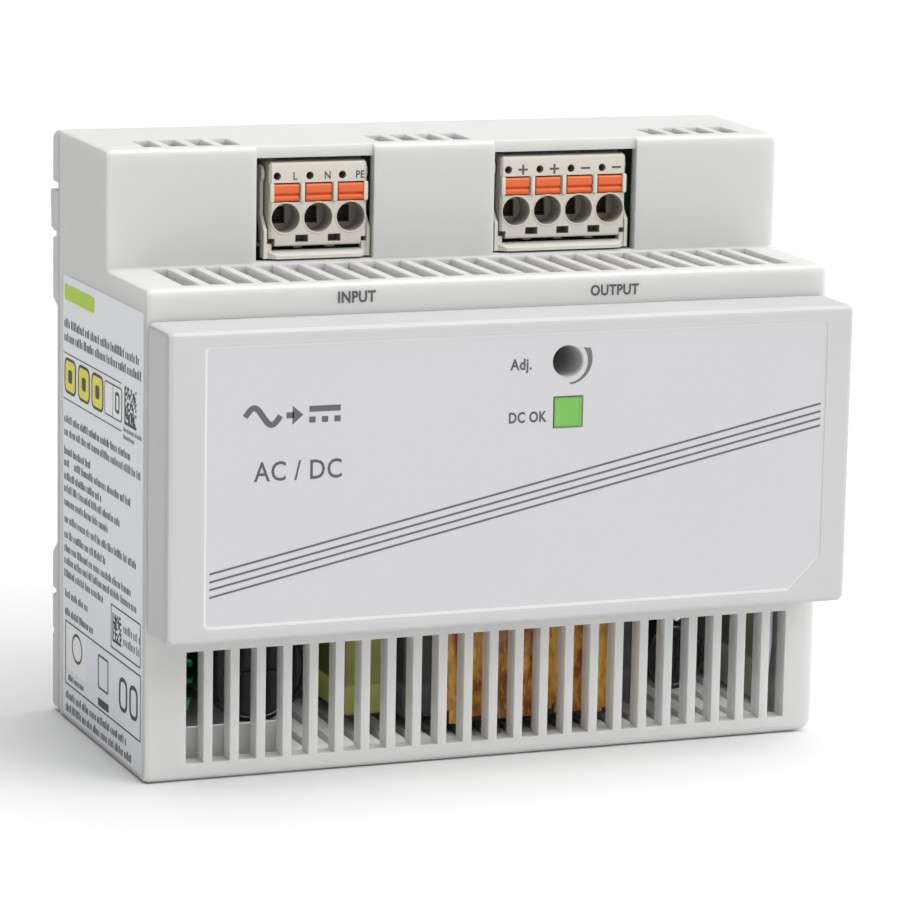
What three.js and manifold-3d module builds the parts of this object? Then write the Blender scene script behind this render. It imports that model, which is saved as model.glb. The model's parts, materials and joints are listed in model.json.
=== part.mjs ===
// DIN rail power supply: stepped 6-module housing, snap-on front cap, two pluggable
// terminal blocks, rail latch and the whole power stage inside. Millimetres, +Z up,
// front faces -Y, origin under the middle of the body.
import * as THREE from "three";
import Module from "manifold-3d";
import { mergeVertices } from "three/addons/utils/BufferGeometryUtils.js";

const wasm = await Module();
wasm.setup();

// ---- driving dimensions -----------------------------------------------------------
const HALF_W = 54; // half width at the back, 6 modules of 18 mm
const SIDE_DRAFT = 0.0175; // each side leans in by this per mm towards the front
const TOP_DRAFT = 0.0175; // and so does the top, down
const HEIGHT = 90;
const Y_CAP = -29.5; // front of the cap
const Y_BODY = -19.6; // front of the lower body
const Y_TERM = 0; // front of the terminal step
const Y_SEAM = 23.7; // joint between front housing and rear base
const Y_RAIL = 25; // face that lies on the rail
const Y_FOOT = 27.5; // back of the feet
const Y_TAB = 29.5; // back of the snap tabs
const Z_LEDGE = 72.1; // top of the ledge in front of the terminals
const WALL = 2;
const GRILLE_T = 3; // depth of the bars in the front
const LEDGE_T = 3.6; // and in the ledge
const CORNER_R = 3.4; // lower right corner of the body
const CAP_CORNER_R = 1.9; // and of the cap
const IN_X = 51.4; // inner half width of the housing
const CAP_Z0 = 22.5;
const CAP_Z1 = 67.5; // the 45 mm high cap of the standard profile
const SLOT_W = 2.7;
const SLOT_PITCH = 4.026;
const SLOT_X0 = -47; // left edge of the first slot
const SLOTS = 24;
const POLE = 5.08; // terminal pitch
const PLUG_Y = 0.6; // front of the plugs
const PLUG_BACK = 12;
const PLUG_Z0 = 74.6;
const PLUG_Z1 = 87.2;
const PUSH_Z0 = 81.25; // underside of the push levers
const PUSH_Z1 = 83.85;
const WIRE_Z = 78.8;
const WIRE_R = 2.2;
const PCB_Y = 16; // component side of the main board
const PCB_T = 1.6;
const ADJ = [7.3, 60.9]; // centre of the adjuster hole
const ADJ_R = 2.3;
const OK_WIN = [7.5, 53.5, 4.5]; // centre and size of the green window
const GAP = 0.3;
const CATCH_Y = Y_BODY + GRILLE_T + 0.4; // where the cap's snap arms hook behind the wall
const INPUT_WIN = [-30.6, -12.2];
const OUTPUT_WIN = [6.9, 30.1];
const WIN_Z = [72.5, 87.8];
const INPUT_X = -20.75; // centre of the input plug
const OUTPUT_X = 18.38;
const LATCH_TOP = 27;
const HOOK_Z = 61.3; // underside of the fixed rail hooks
const HOOK_TOP = 66;
const HOOK_SPANS = [
  [-46, -30],
  [-8, 8],
  [30, 46],
];
const GRILLE_Z = [2.6, 19.2]; // front slots, bottom and top
const LEDGE_SLOT_Y = [Y_BODY + 2.7, Y_TERM - 0.5];
const FLOOR_SLOT_Y = [-15.5, 14];
const FLOOR_SLOT_W = 1.6;
const TOP_SLOT_Y = [2.6, 9.8];
const TOP_SLOT_GROUPS = [
  [0, 3],
  [9, 12],
  [20, 23],
];
const SNAP_X = 40; // middle of the cap's snap arms, left and right
const SNAP_ROWS = [
  [63.2, 67],
  [23, 26.8],
];
const CONTROL_OPENING = { x: [1.4, 12.8], z: [49.5, 65] }; // behind the cap, for adjuster and light pipe
const LABEL = { y0: -18.4, y1: 21.3, z0: 0.95, z1: 68.6, r: 0.6, inner: 0.24, outer: 0.04, play: 0.06 };
const SEAT_Y = 22.4; // how far the rear base reaches into the front housing
const BASE_Z = [0.3, HEIGHT - 0.3];
const TAB_W = 12; // width of the corner snap tabs
const FOOT_POCKETS = [
  [-39, -26],
  [-24, -14],
  [14, 24],
  [26, 39],
];
const POCKET_ROWS = [
  [3, 16.6],
  [68, 86.5],
];
const LATCH_HALF = 8;
const FLANGE_HALF = 10;
const BOARD = { x: 50.6, z0: 3.4, z1: 86.6, hole: 1.6 };
const STANDOFFS = [
  [-46.5, 9],
  [46.5, 9],
  [-46.5, 82],
  [46.5, 82],
];

// ---- helpers ----------------------------------------------------------------------
const group = new THREE.Group();

function add(name, piece, color, roughness, metalness = 0) {
  const geometry = piece.isBufferGeometry ? piece : geometryOf(piece);
  const material = new THREE.MeshStandardMaterial({ color, roughness, metalness });
  const mesh = new THREE.Mesh(geometry, material);
  mesh.name = name;
  group.add(mesh);
  return mesh;
}

// A piece is a geometry, or the solid that joining or cutting made of some.
function solid(piece) {
  if (!piece.isBufferGeometry) return piece;
  const g = piece.clone();
  g.deleteAttribute("normal");
  g.deleteAttribute("uv");
  const merged = mergeVertices(g, 1e-3);
  return new wasm.Manifold(
    new wasm.Mesh({
      numProp: 3,
      vertProperties: merged.attributes.position.array,
      triVerts: new Uint32Array(merged.index.array),
    }),
  );
}

function geometryOf(manifold) {
  const mesh = manifold.getMesh();
  const geometry = new THREE.BufferGeometry();
  geometry.setAttribute("position", new THREE.BufferAttribute(mesh.vertProperties, 3));
  geometry.setIndex(new THREE.BufferAttribute(mesh.triVerts, 1));
  geometry.computeVertexNormals();
  return geometry;
}

function join(list) {
  let out = solid(list[0]);
  for (const g of list.slice(1)) out = out.add(solid(g));
  return out;
}

function cut(base, tools) {
  let out = solid(base);
  for (const g of tools) out = out.subtract(solid(g));
  return out;
}

function box(x0, x1, y0, y1, z0, z1) {
  const g = new THREE.BoxGeometry(x1 - x0, y1 - y0, z1 - z0);
  return g.translate((x0 + x1) / 2, (y0 + y1) / 2, (z0 + z1) / 2);
}

// Shape with rounded corners from [a, b, radius] triples.
function roundedShape(points, steps = 3) {
  const shape = new THREE.Shape();
  const n = points.length;
  const at = (i) => new THREE.Vector2(points[(i + n) % n][0], points[(i + n) % n][1]);
  const all = [];
  for (let i = 0; i < n; i++) {
    const p = at(i);
    const r = points[i][2] || 0;
    if (r === 0) {
      all.push(p);
      continue;
    }
    const a = at(i - 1).sub(p).normalize();
    const b = at(i + 1).sub(p).normalize();
    const half = Math.acos(THREE.MathUtils.clamp(a.dot(b), -1, 1)) / 2;
    const d = r / Math.tan(half);
    const c = p.clone().add(a.clone().add(b).normalize().multiplyScalar(r / Math.sin(half)));
    const p0 = p.clone().add(a.multiplyScalar(d)).sub(c);
    const p1 = p.clone().add(b.multiplyScalar(d)).sub(c);
    let turn = Math.atan2(p1.y, p1.x) - Math.atan2(p0.y, p0.x);
    if (turn > Math.PI) turn -= 2 * Math.PI;
    if (turn < -Math.PI) turn += 2 * Math.PI;
    for (let k = 0; k <= steps; k++) {
      all.push(p0.clone().rotateAround(new THREE.Vector2(), (turn * k) / steps).add(c));
    }
  }
  shape.setFromPoints(all);
  return shape;
}

function rectPoints(a0, a1, b0, b1, r = 0) {
  return [
    [a0, b0, r],
    [a1, b0, r],
    [a1, b1, r],
    [a0, b1, r],
  ];
}

function extrude(shape, length, bevel, segments = 1) {
  const g = new THREE.ExtrudeGeometry(shape, {
    depth: length - 2 * bevel,
    bevelEnabled: bevel > 0,
    bevelThickness: bevel,
    bevelSize: bevel,
    bevelOffset: -bevel,
    bevelSegments: segments,
    curveSegments: 6,
  });
  return g.translate(0, 0, bevel);
}

const TO_X = new THREE.Matrix4().set(0, 0, 1, 0, 1, 0, 0, 0, 0, 1, 0, 0, 0, 0, 0, 1);
const TO_Y = new THREE.Matrix4().set(1, 0, 0, 0, 0, 0, -1, 0, 0, 1, 0, 0, 0, 0, 0, 1);

// Profiles given in (y, z) along X, in (x, z) along Y and in (x, y) along Z.
function alongX(points, x0, x1, bevel = 0, segments = 1, steps = 3) {
  const g = extrude(roundedShape(points, steps), x1 - x0, bevel, segments);
  return g.applyMatrix4(TO_X).translate(x0, 0, 0);
}

function alongY(points, y0, y1, bevel = 0, segments = 1, steps = 3) {
  const g = extrude(roundedShape(points, steps), y1 - y0, bevel, segments);
  return g.applyMatrix4(TO_Y).translate(0, y1, 0);
}

function alongZ(points, z0, z1, bevel = 0, segments = 1, steps = 3) {
  const g = extrude(roundedShape(points, steps), z1 - z0, bevel, segments);
  return g.translate(0, 0, z0);
}

function cylinder(axis, r, a0, a1, u, v, sides = 16) {
  const g = new THREE.CylinderGeometry(r, r, a1 - a0, sides);
  const m = (a0 + a1) / 2;
  if (axis === "x") return g.rotateZ(Math.PI / 2).translate(m, u, v);
  if (axis === "y") return g.translate(u, m, v);
  return g.rotateX(Math.PI / 2).translate(u, v, m);
}

// Body of revolution about an axis along Y: profile of [radius, y] pairs.
function latheY(profile, x, z, sides = 20) {
  const points = profile.map(([r, y]) => new THREE.Vector2(r, y));
  return new THREE.LatheGeometry(points, sides).translate(x, 0, z);
}

function tube(points, r, sides, steps) {
  const circle = new THREE.Shape();
  const ring = [];
  for (let i = 0; i < sides; i++) {
    const a = (2 * Math.PI * i) / sides;
    ring.push(new THREE.Vector2(r * Math.cos(a), r * Math.sin(a)));
  }
  circle.setFromPoints(ring);
  return new THREE.ExtrudeGeometry(circle, {
    steps,
    bevelEnabled: false,
    extrudePath: new THREE.CatmullRomCurve3(points),
  });
}

// Sides of the enclosure lean in towards the front.
function drafted(geometry) {
  const p = geometry.getAttribute("position");
  for (let i = 0; i < p.count; i++) {
    const back = Math.max(0, Y_SEAM - p.getY(i));
    p.setX(i, p.getX(i) * (1 - (SIDE_DRAFT * back) / HALF_W));
  }
  return geometry;
}

// Everything but the lower right corner, which it rounds over a stretch of Y above height z.
function roundCorner(r, y0, y1, z) {
  const w = HALF_W + 0.05;
  const outline = [
    [-w, z - 0.05],
    [w, z - 0.05, r],
    [w, HEIGHT + 5],
    [-w, HEIGHT + 5],
  ];
  return solid(drafted(alongY(outline, y0 - 1, y1 + 1, 0, 1, 7)));
}

const slotX = (k) => SLOT_X0 + k * SLOT_PITCH;

// ---- enclosure --------------------------------------------------------------------
function frontHousing() {
  const outer = drafted(
    alongX(
      [
        [Y_SEAM, 0],
        [Y_SEAM, HEIGHT],
        [Y_TERM, HEIGHT - TOP_DRAFT * Y_SEAM, 1],
        [Y_TERM, Z_LEDGE, 0.4],
        [Y_BODY, Z_LEDGE, 1],
        [Y_BODY, 0, 1.2],
      ].reverse(),
      -HALF_W,
      HALF_W,
      0.9,
      2,
    ),
  );
  const shell = solid(outer).intersect(roundCorner(CORNER_R, Y_BODY, Y_SEAM, 0));
  const hollow = alongX(
    [
      [Y_BODY + GRILLE_T, WALL],
      [Y_SEAM + 2, WALL],
      [Y_SEAM + 2, HEIGHT - WALL],
      [Y_TERM + WALL, HEIGHT - WALL],
      [Y_TERM + WALL, Z_LEDGE - LEDGE_T],
      [Y_BODY + GRILLE_T, Z_LEDGE - LEDGE_T],
    ],
    -IN_X,
    IN_X,
  );
  const tools = [hollow];
  const throughFront = [Y_BODY - 1, Y_BODY + GRILLE_T + 1];
  for (const [x0, x1] of [INPUT_WIN, OUTPUT_WIN]) {
    tools.push(box(x0, x1, -1, 3, WIN_Z[0], WIN_Z[1]));
    tools.push(box(x0, x1, -1, 0.6, WIN_Z[1] - 1, HEIGHT + 1));
  }
  for (let k = 0; k < SLOTS; k++) {
    const x0 = slotX(k);
    const x1 = x0 + SLOT_W;
    tools.push(box(x0, x1, ...throughFront, ...GRILLE_Z));
    tools.push(box(x0, x1, ...LEDGE_SLOT_Y, Z_LEDGE - LEDGE_T - 1, Z_LEDGE + 1));
    tools.push(box(x0, x0 + FLOOR_SLOT_W, ...FLOOR_SLOT_Y, -1, WALL + 1));
    if (TOP_SLOT_GROUPS.some(([first, last]) => k >= first && k <= last)) {
      tools.push(box(x0, x1, ...TOP_SLOT_Y, HEIGHT - 3, HEIGHT + 1));
    }
  }
  for (const x of [-SNAP_X, SNAP_X]) {
    for (const row of SNAP_ROWS) tools.push(box(x - 3.5, x + 3.5, ...throughFront, ...row));
  }
  tools.push(box(...CONTROL_OPENING.x, ...throughFront, ...CONTROL_OPENING.z));
  tools.push(sidePlate(LABEL.play, -HALF_W - 1, -HALF_W + LABEL.inner + LABEL.play));
  add("front_housing", cut(shell, tools), 0xe0e1e2, 0.55);
}

const RECESS = { x0: -47.6, x1: 48.7, z0: 24.7, z1: 65.3, depth: 0.42, cut: 4.9 };

function recessOutline(inset) {
  const x0 = RECESS.x0 + inset;
  const x1 = RECESS.x1 - inset;
  const z0 = RECESS.z0 + inset;
  const z1 = RECESS.z1 - inset;
  return [
    [x0, z0, 0.8],
    [x1 - RECESS.cut, z0, 0.8],
    [x1, z0 + RECESS.cut, 0.8],
    [x1, z1, 0.8],
    [x0, z1, 0.8],
  ];
}

function frontCap() {
  const y1 = Y_BODY - GAP;
  const outer = drafted(
    alongX(
      [
        [Y_CAP, CAP_Z0, 1.1],
        [y1, CAP_Z0],
        [y1, CAP_Z1],
        [Y_CAP, CAP_Z1, 1.1],
      ],
      -HALF_W,
      HALF_W,
      1,
      2,
    ),
  );
  const hollow = box(-51, 51, Y_CAP + 2.2, y1 + 1, CAP_Z0 + 1.8, CAP_Z1 - 1.8);
  const shell = solid(outer).intersect(roundCorner(CAP_CORNER_R, Y_CAP, y1, CAP_Z0));
  const pieces = [cut(shell, [hollow])];
  pieces.push(cylinder("y", ADJ_R + 0.9, Y_CAP + 2, Y_BODY + 1.4, ADJ[0], ADJ[1], 20));
  for (const x of [-SNAP_X, SNAP_X]) {
    for (const [z, s] of [
      [CAP_Z1 - 2.2, 1],
      [CAP_Z0 + 2.2, -1],
    ]) {
      const arm = [
        [Y_CAP + 3, z + s],
        [Y_CAP + 3, z - s],
        [CATCH_Y + 1, z - s],
        [CATCH_Y + 1, z],
        [CATCH_Y, z + 1.2 * s],
        [CATCH_Y, z],
        [y1, z],
        [y1, z + s],
      ];
      pieces.push(alongX(s > 0 ? arm : arm.reverse(), x - 3, x + 3));
    }
  }
  const tools = [
    alongY(recessOutline(0), Y_CAP - 1, Y_CAP + RECESS.depth),
    cylinder("y", ADJ_R, Y_CAP - 1, Y_BODY + 3, ADJ[0], ADJ[1], 20),
    box(...windowBox(0), Y_CAP - 1, Y_CAP + 4, ...windowBox(1)),
  ];
  add("front_cap", cut(join(pieces), tools), 0xe2e3e4, 0.5);
}

function windowBox(axis, grow = 0) {
  const half = OK_WIN[2] / 2 + grow;
  return [OK_WIN[axis] - half, OK_WIN[axis] + half];
}

function frontLabel() {
  const y0 = Y_CAP + RECESS.depth - 0.2;
  const film = alongY(recessOutline(0.05), y0, y0 + 0.17);
  const tools = [
    cylinder("y", ADJ_R + 0.15, y0 - 1, y0 + 1, ADJ[0], ADJ[1], 20),
    box(...windowBox(0, 0.1), y0 - 1, y0 + 1, ...windowBox(1, 0.1)),
  ];
  add("front_label", cut(film, tools), 0xd9dadb, 0.45);
}

// Plate that follows the leaning left side, at the place of the rating label.
function sidePlate(grow, x0, x1) {
  const { y0, y1, z0, z1, r } = LABEL;
  const outline = rectPoints(y0 - grow, y1 + grow, z0 - grow, z1 + grow, r);
  const plate = alongX(outline, x0, x1);
  const p = plate.getAttribute("position");
  for (let i = 0; i < p.count; i++) {
    p.setX(i, p.getX(i) + SIDE_DRAFT * (Y_SEAM - p.getY(i)));
  }
  return plate;
}

function sideLabel() {
  const plate = sidePlate(0, -HALF_W + LABEL.outer, -HALF_W + LABEL.inner);
  add("rating_label", plate, 0xc5c7cb, 0.4, 0.15);
}

function rearBase() {
  const [z0, z1] = BASE_Z;
  const profile = [
    [Y_SEAM + 0.15, z0],
    [Y_FOOT, z0, 1],
    [Y_FOOT, 25, 2],
    [Y_RAIL, 27],
    [Y_RAIL, 62.9],
    [Y_FOOT, 63.9],
    [Y_FOOT, z1, 1.6],
    [Y_SEAM + 0.15, z1],
  ];
  const body = solid(alongX(profile, -HALF_W + 0.1, HALF_W - 0.1, 0.5, 1));
  const pieces = [
    body.intersect(roundCorner(CORNER_R, Y_SEAM - 1, Y_TAB, 0)),
    box(-IN_X + GAP, IN_X - GAP, SEAT_Y, Y_SEAM + 0.5, WALL + GAP, HEIGHT - WALL - GAP),
  ];
  for (const [x0, x1] of HOOK_SPANS) {
    const hook = [
      [26.3, HOOK_Z],
      [27.4, HOOK_Z + 0.5],
      [27.4, HOOK_TOP],
      [26.3, HOOK_TOP],
    ];
    pieces.push(alongX(hook, x0, x1));
  }
  for (const s of [-1, 1]) {
    const x0 = s > 0 ? HALF_W - TAB_W : -HALF_W + 0.4;
    const tab = [
      [Y_SEAM + 1, 74.6],
      [29.1, 74.6],
      [Y_TAB, 79.9],
      [Y_TAB - 0.3, 80.5],
      [Y_SEAM + 1, 80.5],
    ];
    pieces.push(alongX(tab, x0, x0 + TAB_W - 0.4));
  }
  const tools = [];
  for (const s of [-1, 1]) {
    const xa = s > 0 ? HALF_W - TAB_W : -HALF_W - 1;
    const xb = s > 0 ? HALF_W + 1 : -HALF_W + TAB_W;
    const undercut = [
      [25.2, 73.9],
      [30, 72.4],
      [30, 74.5],
      [25.2, 74.5],
    ];
    tools.push(box(xa, xb, Y_SEAM + 0.6, 31, 80.6, 82));
    tools.push(alongX(undercut, xa, xb));
    tools.push(box(xa, xb, 25.1, 31, 18.2, 19.3));
    tools.push(box(xa, xb, 26.4, 31, 12, 12.9));
  }
  // Moulded pockets in the backs of the feet.
  for (const span of FOOT_POCKETS) {
    for (const row of POCKET_ROWS) tools.push(box(...span, Y_FOOT - 3, 31, ...row));
  }
  // Relief over the rail face, under the hooks, so that the face itself lies flat.
  tools.push(box(-HALF_W - 1, HALF_W + 1, Y_RAIL - 0.4, 26.1, HOOK_Z - 0.3, 62.9));
  tools.push(box(-LATCH_HALF - GAP, LATCH_HALF + GAP, Y_RAIL, 31, -1, LATCH_TOP + 1));
  tools.push(box(-FLANGE_HALF - GAP, FLANGE_HALF + GAP, 24.8, 26.1, -1, 24));
  for (const [x, z] of STANDOFFS) {
    pieces.push(cylinder("y", 3, PCB_Y + PCB_T + 0.1, SEAT_Y + 0.5, x, z, 12));
    tools.push(cylinder("y", 1.5, PCB_Y, SEAT_Y + 0.5, x, z, 10));
  }
  const lug = box(-2.1, 2.1, 24.7, 27.2, 8.8, 10.1);
  add("rear_base", join([cut(join(pieces), tools), lug]), 0xd6d7d6, 0.6);
}

function dinLatch() {
  const body = alongX(
    [
      [25.2, 0.35],
      [Y_FOOT - 0.1, 0.35, 0.5],
      [Y_FOOT - 0.1, 28.9],
      [26.4, 28.3],
      [26.4, LATCH_TOP],
      [25.2, LATCH_TOP],
    ],
    -LATCH_HALF,
    LATCH_HALF,
  );
  const flange = box(-FLANGE_HALF, FLANGE_HALF, 25.1, 25.8, 1, 19.8);
  const tools = [
    box(-2.6, 2.6, 24, 29, 8.5, 19),
    box(-3, 3, 24, 29, 2.2, 4.8),
    box(-6, -4, 26.6, 29, 6, 24),
    box(4, 6, 26.6, 29, 6, 24),
  ];
  add("din_latch", cut(join([body, flange]), tools), 0xcfd0cf, 0.55);
}

function latchSpring() {
  const turns = 6;
  const z0 = 10.4;
  const z1 = 18.7;
  const points = [];
  for (let i = 0; i <= turns * 8; i++) {
    const a = (2 * Math.PI * i) / 8;
    const z = z0 + ((z1 - z0) * i) / (turns * 8);
    points.push(new THREE.Vector3(0.8 * Math.cos(a), 26.15 + 0.8 * Math.sin(a), z));
  }
  add("latch_spring", tube(points, 0.2, 5, turns * 10), 0xb8bbc0, 0.3, 1);
}

// ---- terminals --------------------------------------------------------------------
function poleX(cx, n, i) {
  return cx + (i - (n - 1) / 2) * POLE;
}

function plug(name, cx, n) {
  const half = (n * POLE) / 2;
  const body = alongX(
    [
      [PLUG_Y, PLUG_Z0, 0.4],
      [PLUG_BACK, PLUG_Z0],
      [PLUG_BACK, PLUG_Z1 - 1.4],
      [PLUG_BACK - 4, PLUG_Z1],
      [PLUG_Y, PLUG_Z1, 0.7],
    ],
    cx - half,
    cx + half,
    0.35,
    1,
    2,
  );
  const pieces = [body];
  const tools = [];
  for (let i = 0; i < n; i++) {
    const x = poleX(cx, n, i);
    tools.push(cylinder("y", WIRE_R, PLUG_Y - 1, 4.6, x, WIRE_Z, 18));
    tools.push(box(x - 1.2, x + 1.2, 4, 8.2, WIRE_Z - 1.3, WIRE_Z + 1.3));
    tools.push(cylinder("y", 0.6, PLUG_Y - 1, 4, x - 1.35, 85.05, 10));
    tools.push(box(x - 2.1, x + 2.1, PLUG_Y - 1, 7.7, PUSH_Z0 - 0.1, PUSH_Z1 + 0.2));
    tools.push(box(x - 0.8, x + 0.8, 8.6, PLUG_BACK + 1, WIRE_Z - 1.5, WIRE_Z + 1.5));
    if (i > 0) {
      const m = x - POLE / 2;
      tools.push(box(m - 1, m + 1, PLUG_Y - 1, 3.4, PLUG_Z0 + 0.6, PLUG_Z0 + 1.7));
      pieces.push(box(m - 0.6, m + 0.6, 2.4, 3.6, PLUG_Z0 - 0.45, PLUG_Z0 + 1));
    }
  }
  for (const s of [-1, 1]) {
    const notch = [cx + s * (half - 0.9), cx + s * (half + 1)].sort((a, b) => a - b);
    tools.push(box(...notch, PLUG_Y - 1, 3, PLUG_Z0 - 1, PLUG_Z0 + 1.2));
  }
  add(name, cut(join(pieces), tools), 0xc9cabf, 0.5);
}

function pusher(name, x) {
  const groove = PUSH_Z0 + 1;
  const shape = [
    [0.35, PUSH_Z0, 0.35],
    [5.2, PUSH_Z0],
    [5.2, PUSH_Z1],
    [0.35, PUSH_Z1, 0.35],
    [0.35, groove + 0.25],
    [0.8, groove],
    [0.35, groove - 0.25],
  ];
  add(name, alongX(shape, x - 2, x + 2, 0, 1, 2), 0xf07842, 0.45);
}

// Lever round the plug: a bar in front, with arms that step back and pivot near the top.
function lockLever(name, cx, n) {
  const half = (n * POLE) / 2;
  const t = 0.5;
  const xi = half + 0.18;
  const z0 = WIN_Z[0] + GAP;
  const bar = alongX(
    [
      [0.1, z0],
      [2, z0],
      [2, z0 + 1.15],
      [1.5, z0 + 1.15],
      [0.1, z0 + 0.5],
    ],
    cx - half,
    cx + half,
  );
  const plan = [
    [-xi, 2.5],
    [-xi, 1.4],
    [1.1 - half, 0],
    [half - 1.1, 0],
    [xi, 1.4],
    [xi, 2.5],
  ];
  const ends = alongZ(plan.map(([x, y]) => [x + cx, y]), z0 - 1, z0 + 3);
  const pieces = [solid(bar).intersect(solid(ends))];
  for (const s of [-1, 1]) {
    const span = (a, b) => [cx + s * a, cx + s * b].sort((p, q) => p - q);
    const arm = [
      [1, z0],
      [2.8, z0],
      [2.8, 76.4],
      [4.7, 78.6],
      [4.7, 86.2],
      [3, 86.2],
      [3, 79.2],
      [1, 77],
    ];
    pieces.push(alongX(arm, ...span(xi, xi + t)));
    pieces.push(box(...span(half - 0.6, xi + t), 1.2, 2.4, z0, z0 + 2.2));
    pieces.push(cylinder("x", 1.3, ...span(xi, xi + t), 3.6, 85.2, 12));
  }
  add(name, join(pieces), 0xd3d4ca, 0.5);
}

function header(name, cx, n) {
  const half = (n * POLE) / 2;
  const outer = box(cx - half - 0.75, cx + half + 0.75, 5.6, 15.7, 74, 88 - 0.1);
  const cavity = box(cx - half - 0.2, cx + half + 0.2, 5, 12.3, 74.6, 89);
  const pieces = [cut(outer, [cavity])];
  for (let i = 0; i < n; i++) {
    const x = poleX(cx, n, i);
    pieces.push(box(x - 0.5, x + 0.5, 9, 13, WIRE_Z - 0.5, WIRE_Z + 0.5));
  }
  add(name, join(pieces), 0x9a9c94, 0.55);
}

// ---- boards and power stage -------------------------------------------------------
function mainBoard() {
  const board = box(-BOARD.x, BOARD.x, PCB_Y, PCB_Y + PCB_T, BOARD.z0, BOARD.z1);
  const holes = STANDOFFS.map(([x, z]) => cylinder("y", BOARD.hole, 15, 19, x, z, 10));
  add("main_board", cut(board, holes), 0x2f6b45, 0.5);
}

function boardScrews() {
  STANDOFFS.forEach(([x, z], i) => {
    const screw = latheY(
      [
        [0, 21.8],
        [1.1, 21.6],
        [1.1, 15.9],
        [2.7, 15.9],
        [2.5, 14.6],
        [1.6, 14.1],
        [0, 14.1],
      ].reverse(),
      x,
      z,
      12,
    );
    const slots = [
      box(x - 1.5, x + 1.5, 13.5, 14.9, z - 0.25, z + 0.25),
      box(x - 0.25, x + 0.25, 13.5, 14.9, z - 1.5, z + 1.5),
    ];
    add("board_screw_" + (i + 1), cut(screw, slots), 0xb9bcc0, 0.35, 1);
  });
}

// Radial can on the board: sleeve, rolled groove near the board and a scored top.
function canCapacitor(name, x, z, r, length, color) {
  const y1 = PCB_Y - GAP;
  const y0 = y1 - length;
  const can = latheY(
    [
      [0, y0 + 0.35],
      [r - 0.9, y0 + 0.35],
      [r - 0.7, y0],
      [r - 0.25, y0],
      [r, y0 + 0.35],
      [r, y1 - 3.2],
      [r - 0.6, y1 - 2.6],
      [r, y1 - 2],
      [r, y1 - 0.2],
      [r - 0.3, y1],
      [0, y1],
    ],
    x,
    z,
    22,
  );
  const d = r * 0.62;
  const y2 = y0 + 0.6;
  const score = [
    box(x - d, x + d, y0 - 1, y2, z - 0.2, z + 0.2),
    box(x - 0.2, x + 0.2, y0 - 1, y2, z - d, z + d),
  ];
  add(name, cut(can, score), color, 0.35);
}

function toroid(name, cx, cy, cz, R, r, axis, color, roughness, metalness = 0) {
  const g = new THREE.TorusGeometry(R, r, 8, 22);
  if (axis === "x") g.rotateY(Math.PI / 2);
  if (axis === "y") g.rotateX(Math.PI / 2);
  add(name, g.translate(cx, cy, cz), color, roughness, metalness);
}

// Copper coil that winds round one side of a ring whose axis is X.
function ringCoil(name, cx, cy, cz, R, r, from, to, turns, wire) {
  const points = [];
  const steps = turns * 8;
  for (let i = 0; i <= steps; i++) {
    const a = from + ((to - from) * i) / steps;
    const b = (2 * Math.PI * i) / 8;
    const d = R + r * Math.cos(b);
    const p = new THREE.Vector3(r * Math.sin(b), d * Math.cos(a), d * Math.sin(a));
    points.push(p.add(new THREE.Vector3(cx, cy, cz)));
  }
  add(name, tube(points, wire, 5, steps), 0xb4652f, 0.35, 0.8);
}

function transformer() {
  const x0 = -10.4;
  const x1 = 27.2;
  const z0 = 4.6;
  const z1 = 34;
  const leg = 5;
  const frame = cut(box(x0, x1, -11, 12, z0, z1), [
    box(x0 + leg, x1 - leg, -12, 13, z0 - 1, z1 - leg),
  ]);
  add("transformer_core", frame, 0x3a3b3e, 0.55);
  const wx0 = x0 + leg + GAP;
  const wx1 = x1 - leg - GAP;
  const winding = alongZ(rectPoints(wx0, wx1, -15, 13, 3.2), z0 + 1.2, z1 - leg - 1.9, 0.5);
  add("transformer_winding", winding, 0xd0952f, 0.4);
  const flanges = alongZ(rectPoints(wx0, wx1, -12.5, 13.4, 1.5), z0 - 0.8, z0 + 0.9);
  const foot = box(wx0 + 1, wx1 - 1, 13.3, PCB_Y - GAP, z0 - 0.8, z0 + 3);
  add("transformer_bobbin", join([flanges, foot]), 0x1f1f21, 0.5);
}

function blockPart(name, x0, x1, y0, z0, z1, color, roughness, metalness = 0) {
  const g = alongY(rectPoints(x0, x1, z0, z1, 0.6), y0, PCB_Y - GAP, 0.4, 1, 1);
  add(name, g, color, roughness, metalness);
}

// Finned plate standing on the board, its broad face square to X.
function heatsink(name, x, z0, z1, y0, side, color) {
  const pieces = [box(x, x + 2, y0, PCB_Y - GAP, z0, z1)];
  for (let i = 0; i < 4; i++) {
    const z = z0 + 1 + (i * (z1 - z0 - 4)) / 3;
    const a = side > 0 ? [x + 1.5, x + 5.5] : [x - 3.5, x + 0.5];
    pieces.push(box(a[0], a[1], y0, PCB_Y - 5, z, z + 1.6));
  }
  add(name, join(pieces), color, 0.45, 0.7);
}

// Flat plastic power package with its metal back and three leads.
function powerPackage(name, x0, z, y0) {
  const pieces = [
    alongX(
      [
        [y0 + 3, z - 5],
        [y0 + 18, z - 5],
        [y0 + 18, z + 5],
        [y0 + 3, z + 5],
      ],
      x0,
      x0 + 3.6,
    ),
  ];
  for (const d of [-2.5, 0, 2.5]) {
    pieces.push(box(x0 + 1.4, x0 + 2, y0 + 17, PCB_Y - 0.1, z + d - 0.4, z + d + 0.4));
  }
  add(name, join(pieces), 0x1b1c1d, 0.45);
}

function disc(name, x, z, r, color) {
  const g = cylinder("x", r, x - 1.8, x + 1.8, PCB_Y - 2.2 - r, z, 18);
  const leads = [-2.5, 2.5].map((d) =>
    box(x - 0.35, x + 0.35, PCB_Y - 5, PCB_Y - 0.1, z + d - 0.35, z + d + 0.35),
  );
  add(name, join([g, ...leads]), color, 0.4);
}

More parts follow.
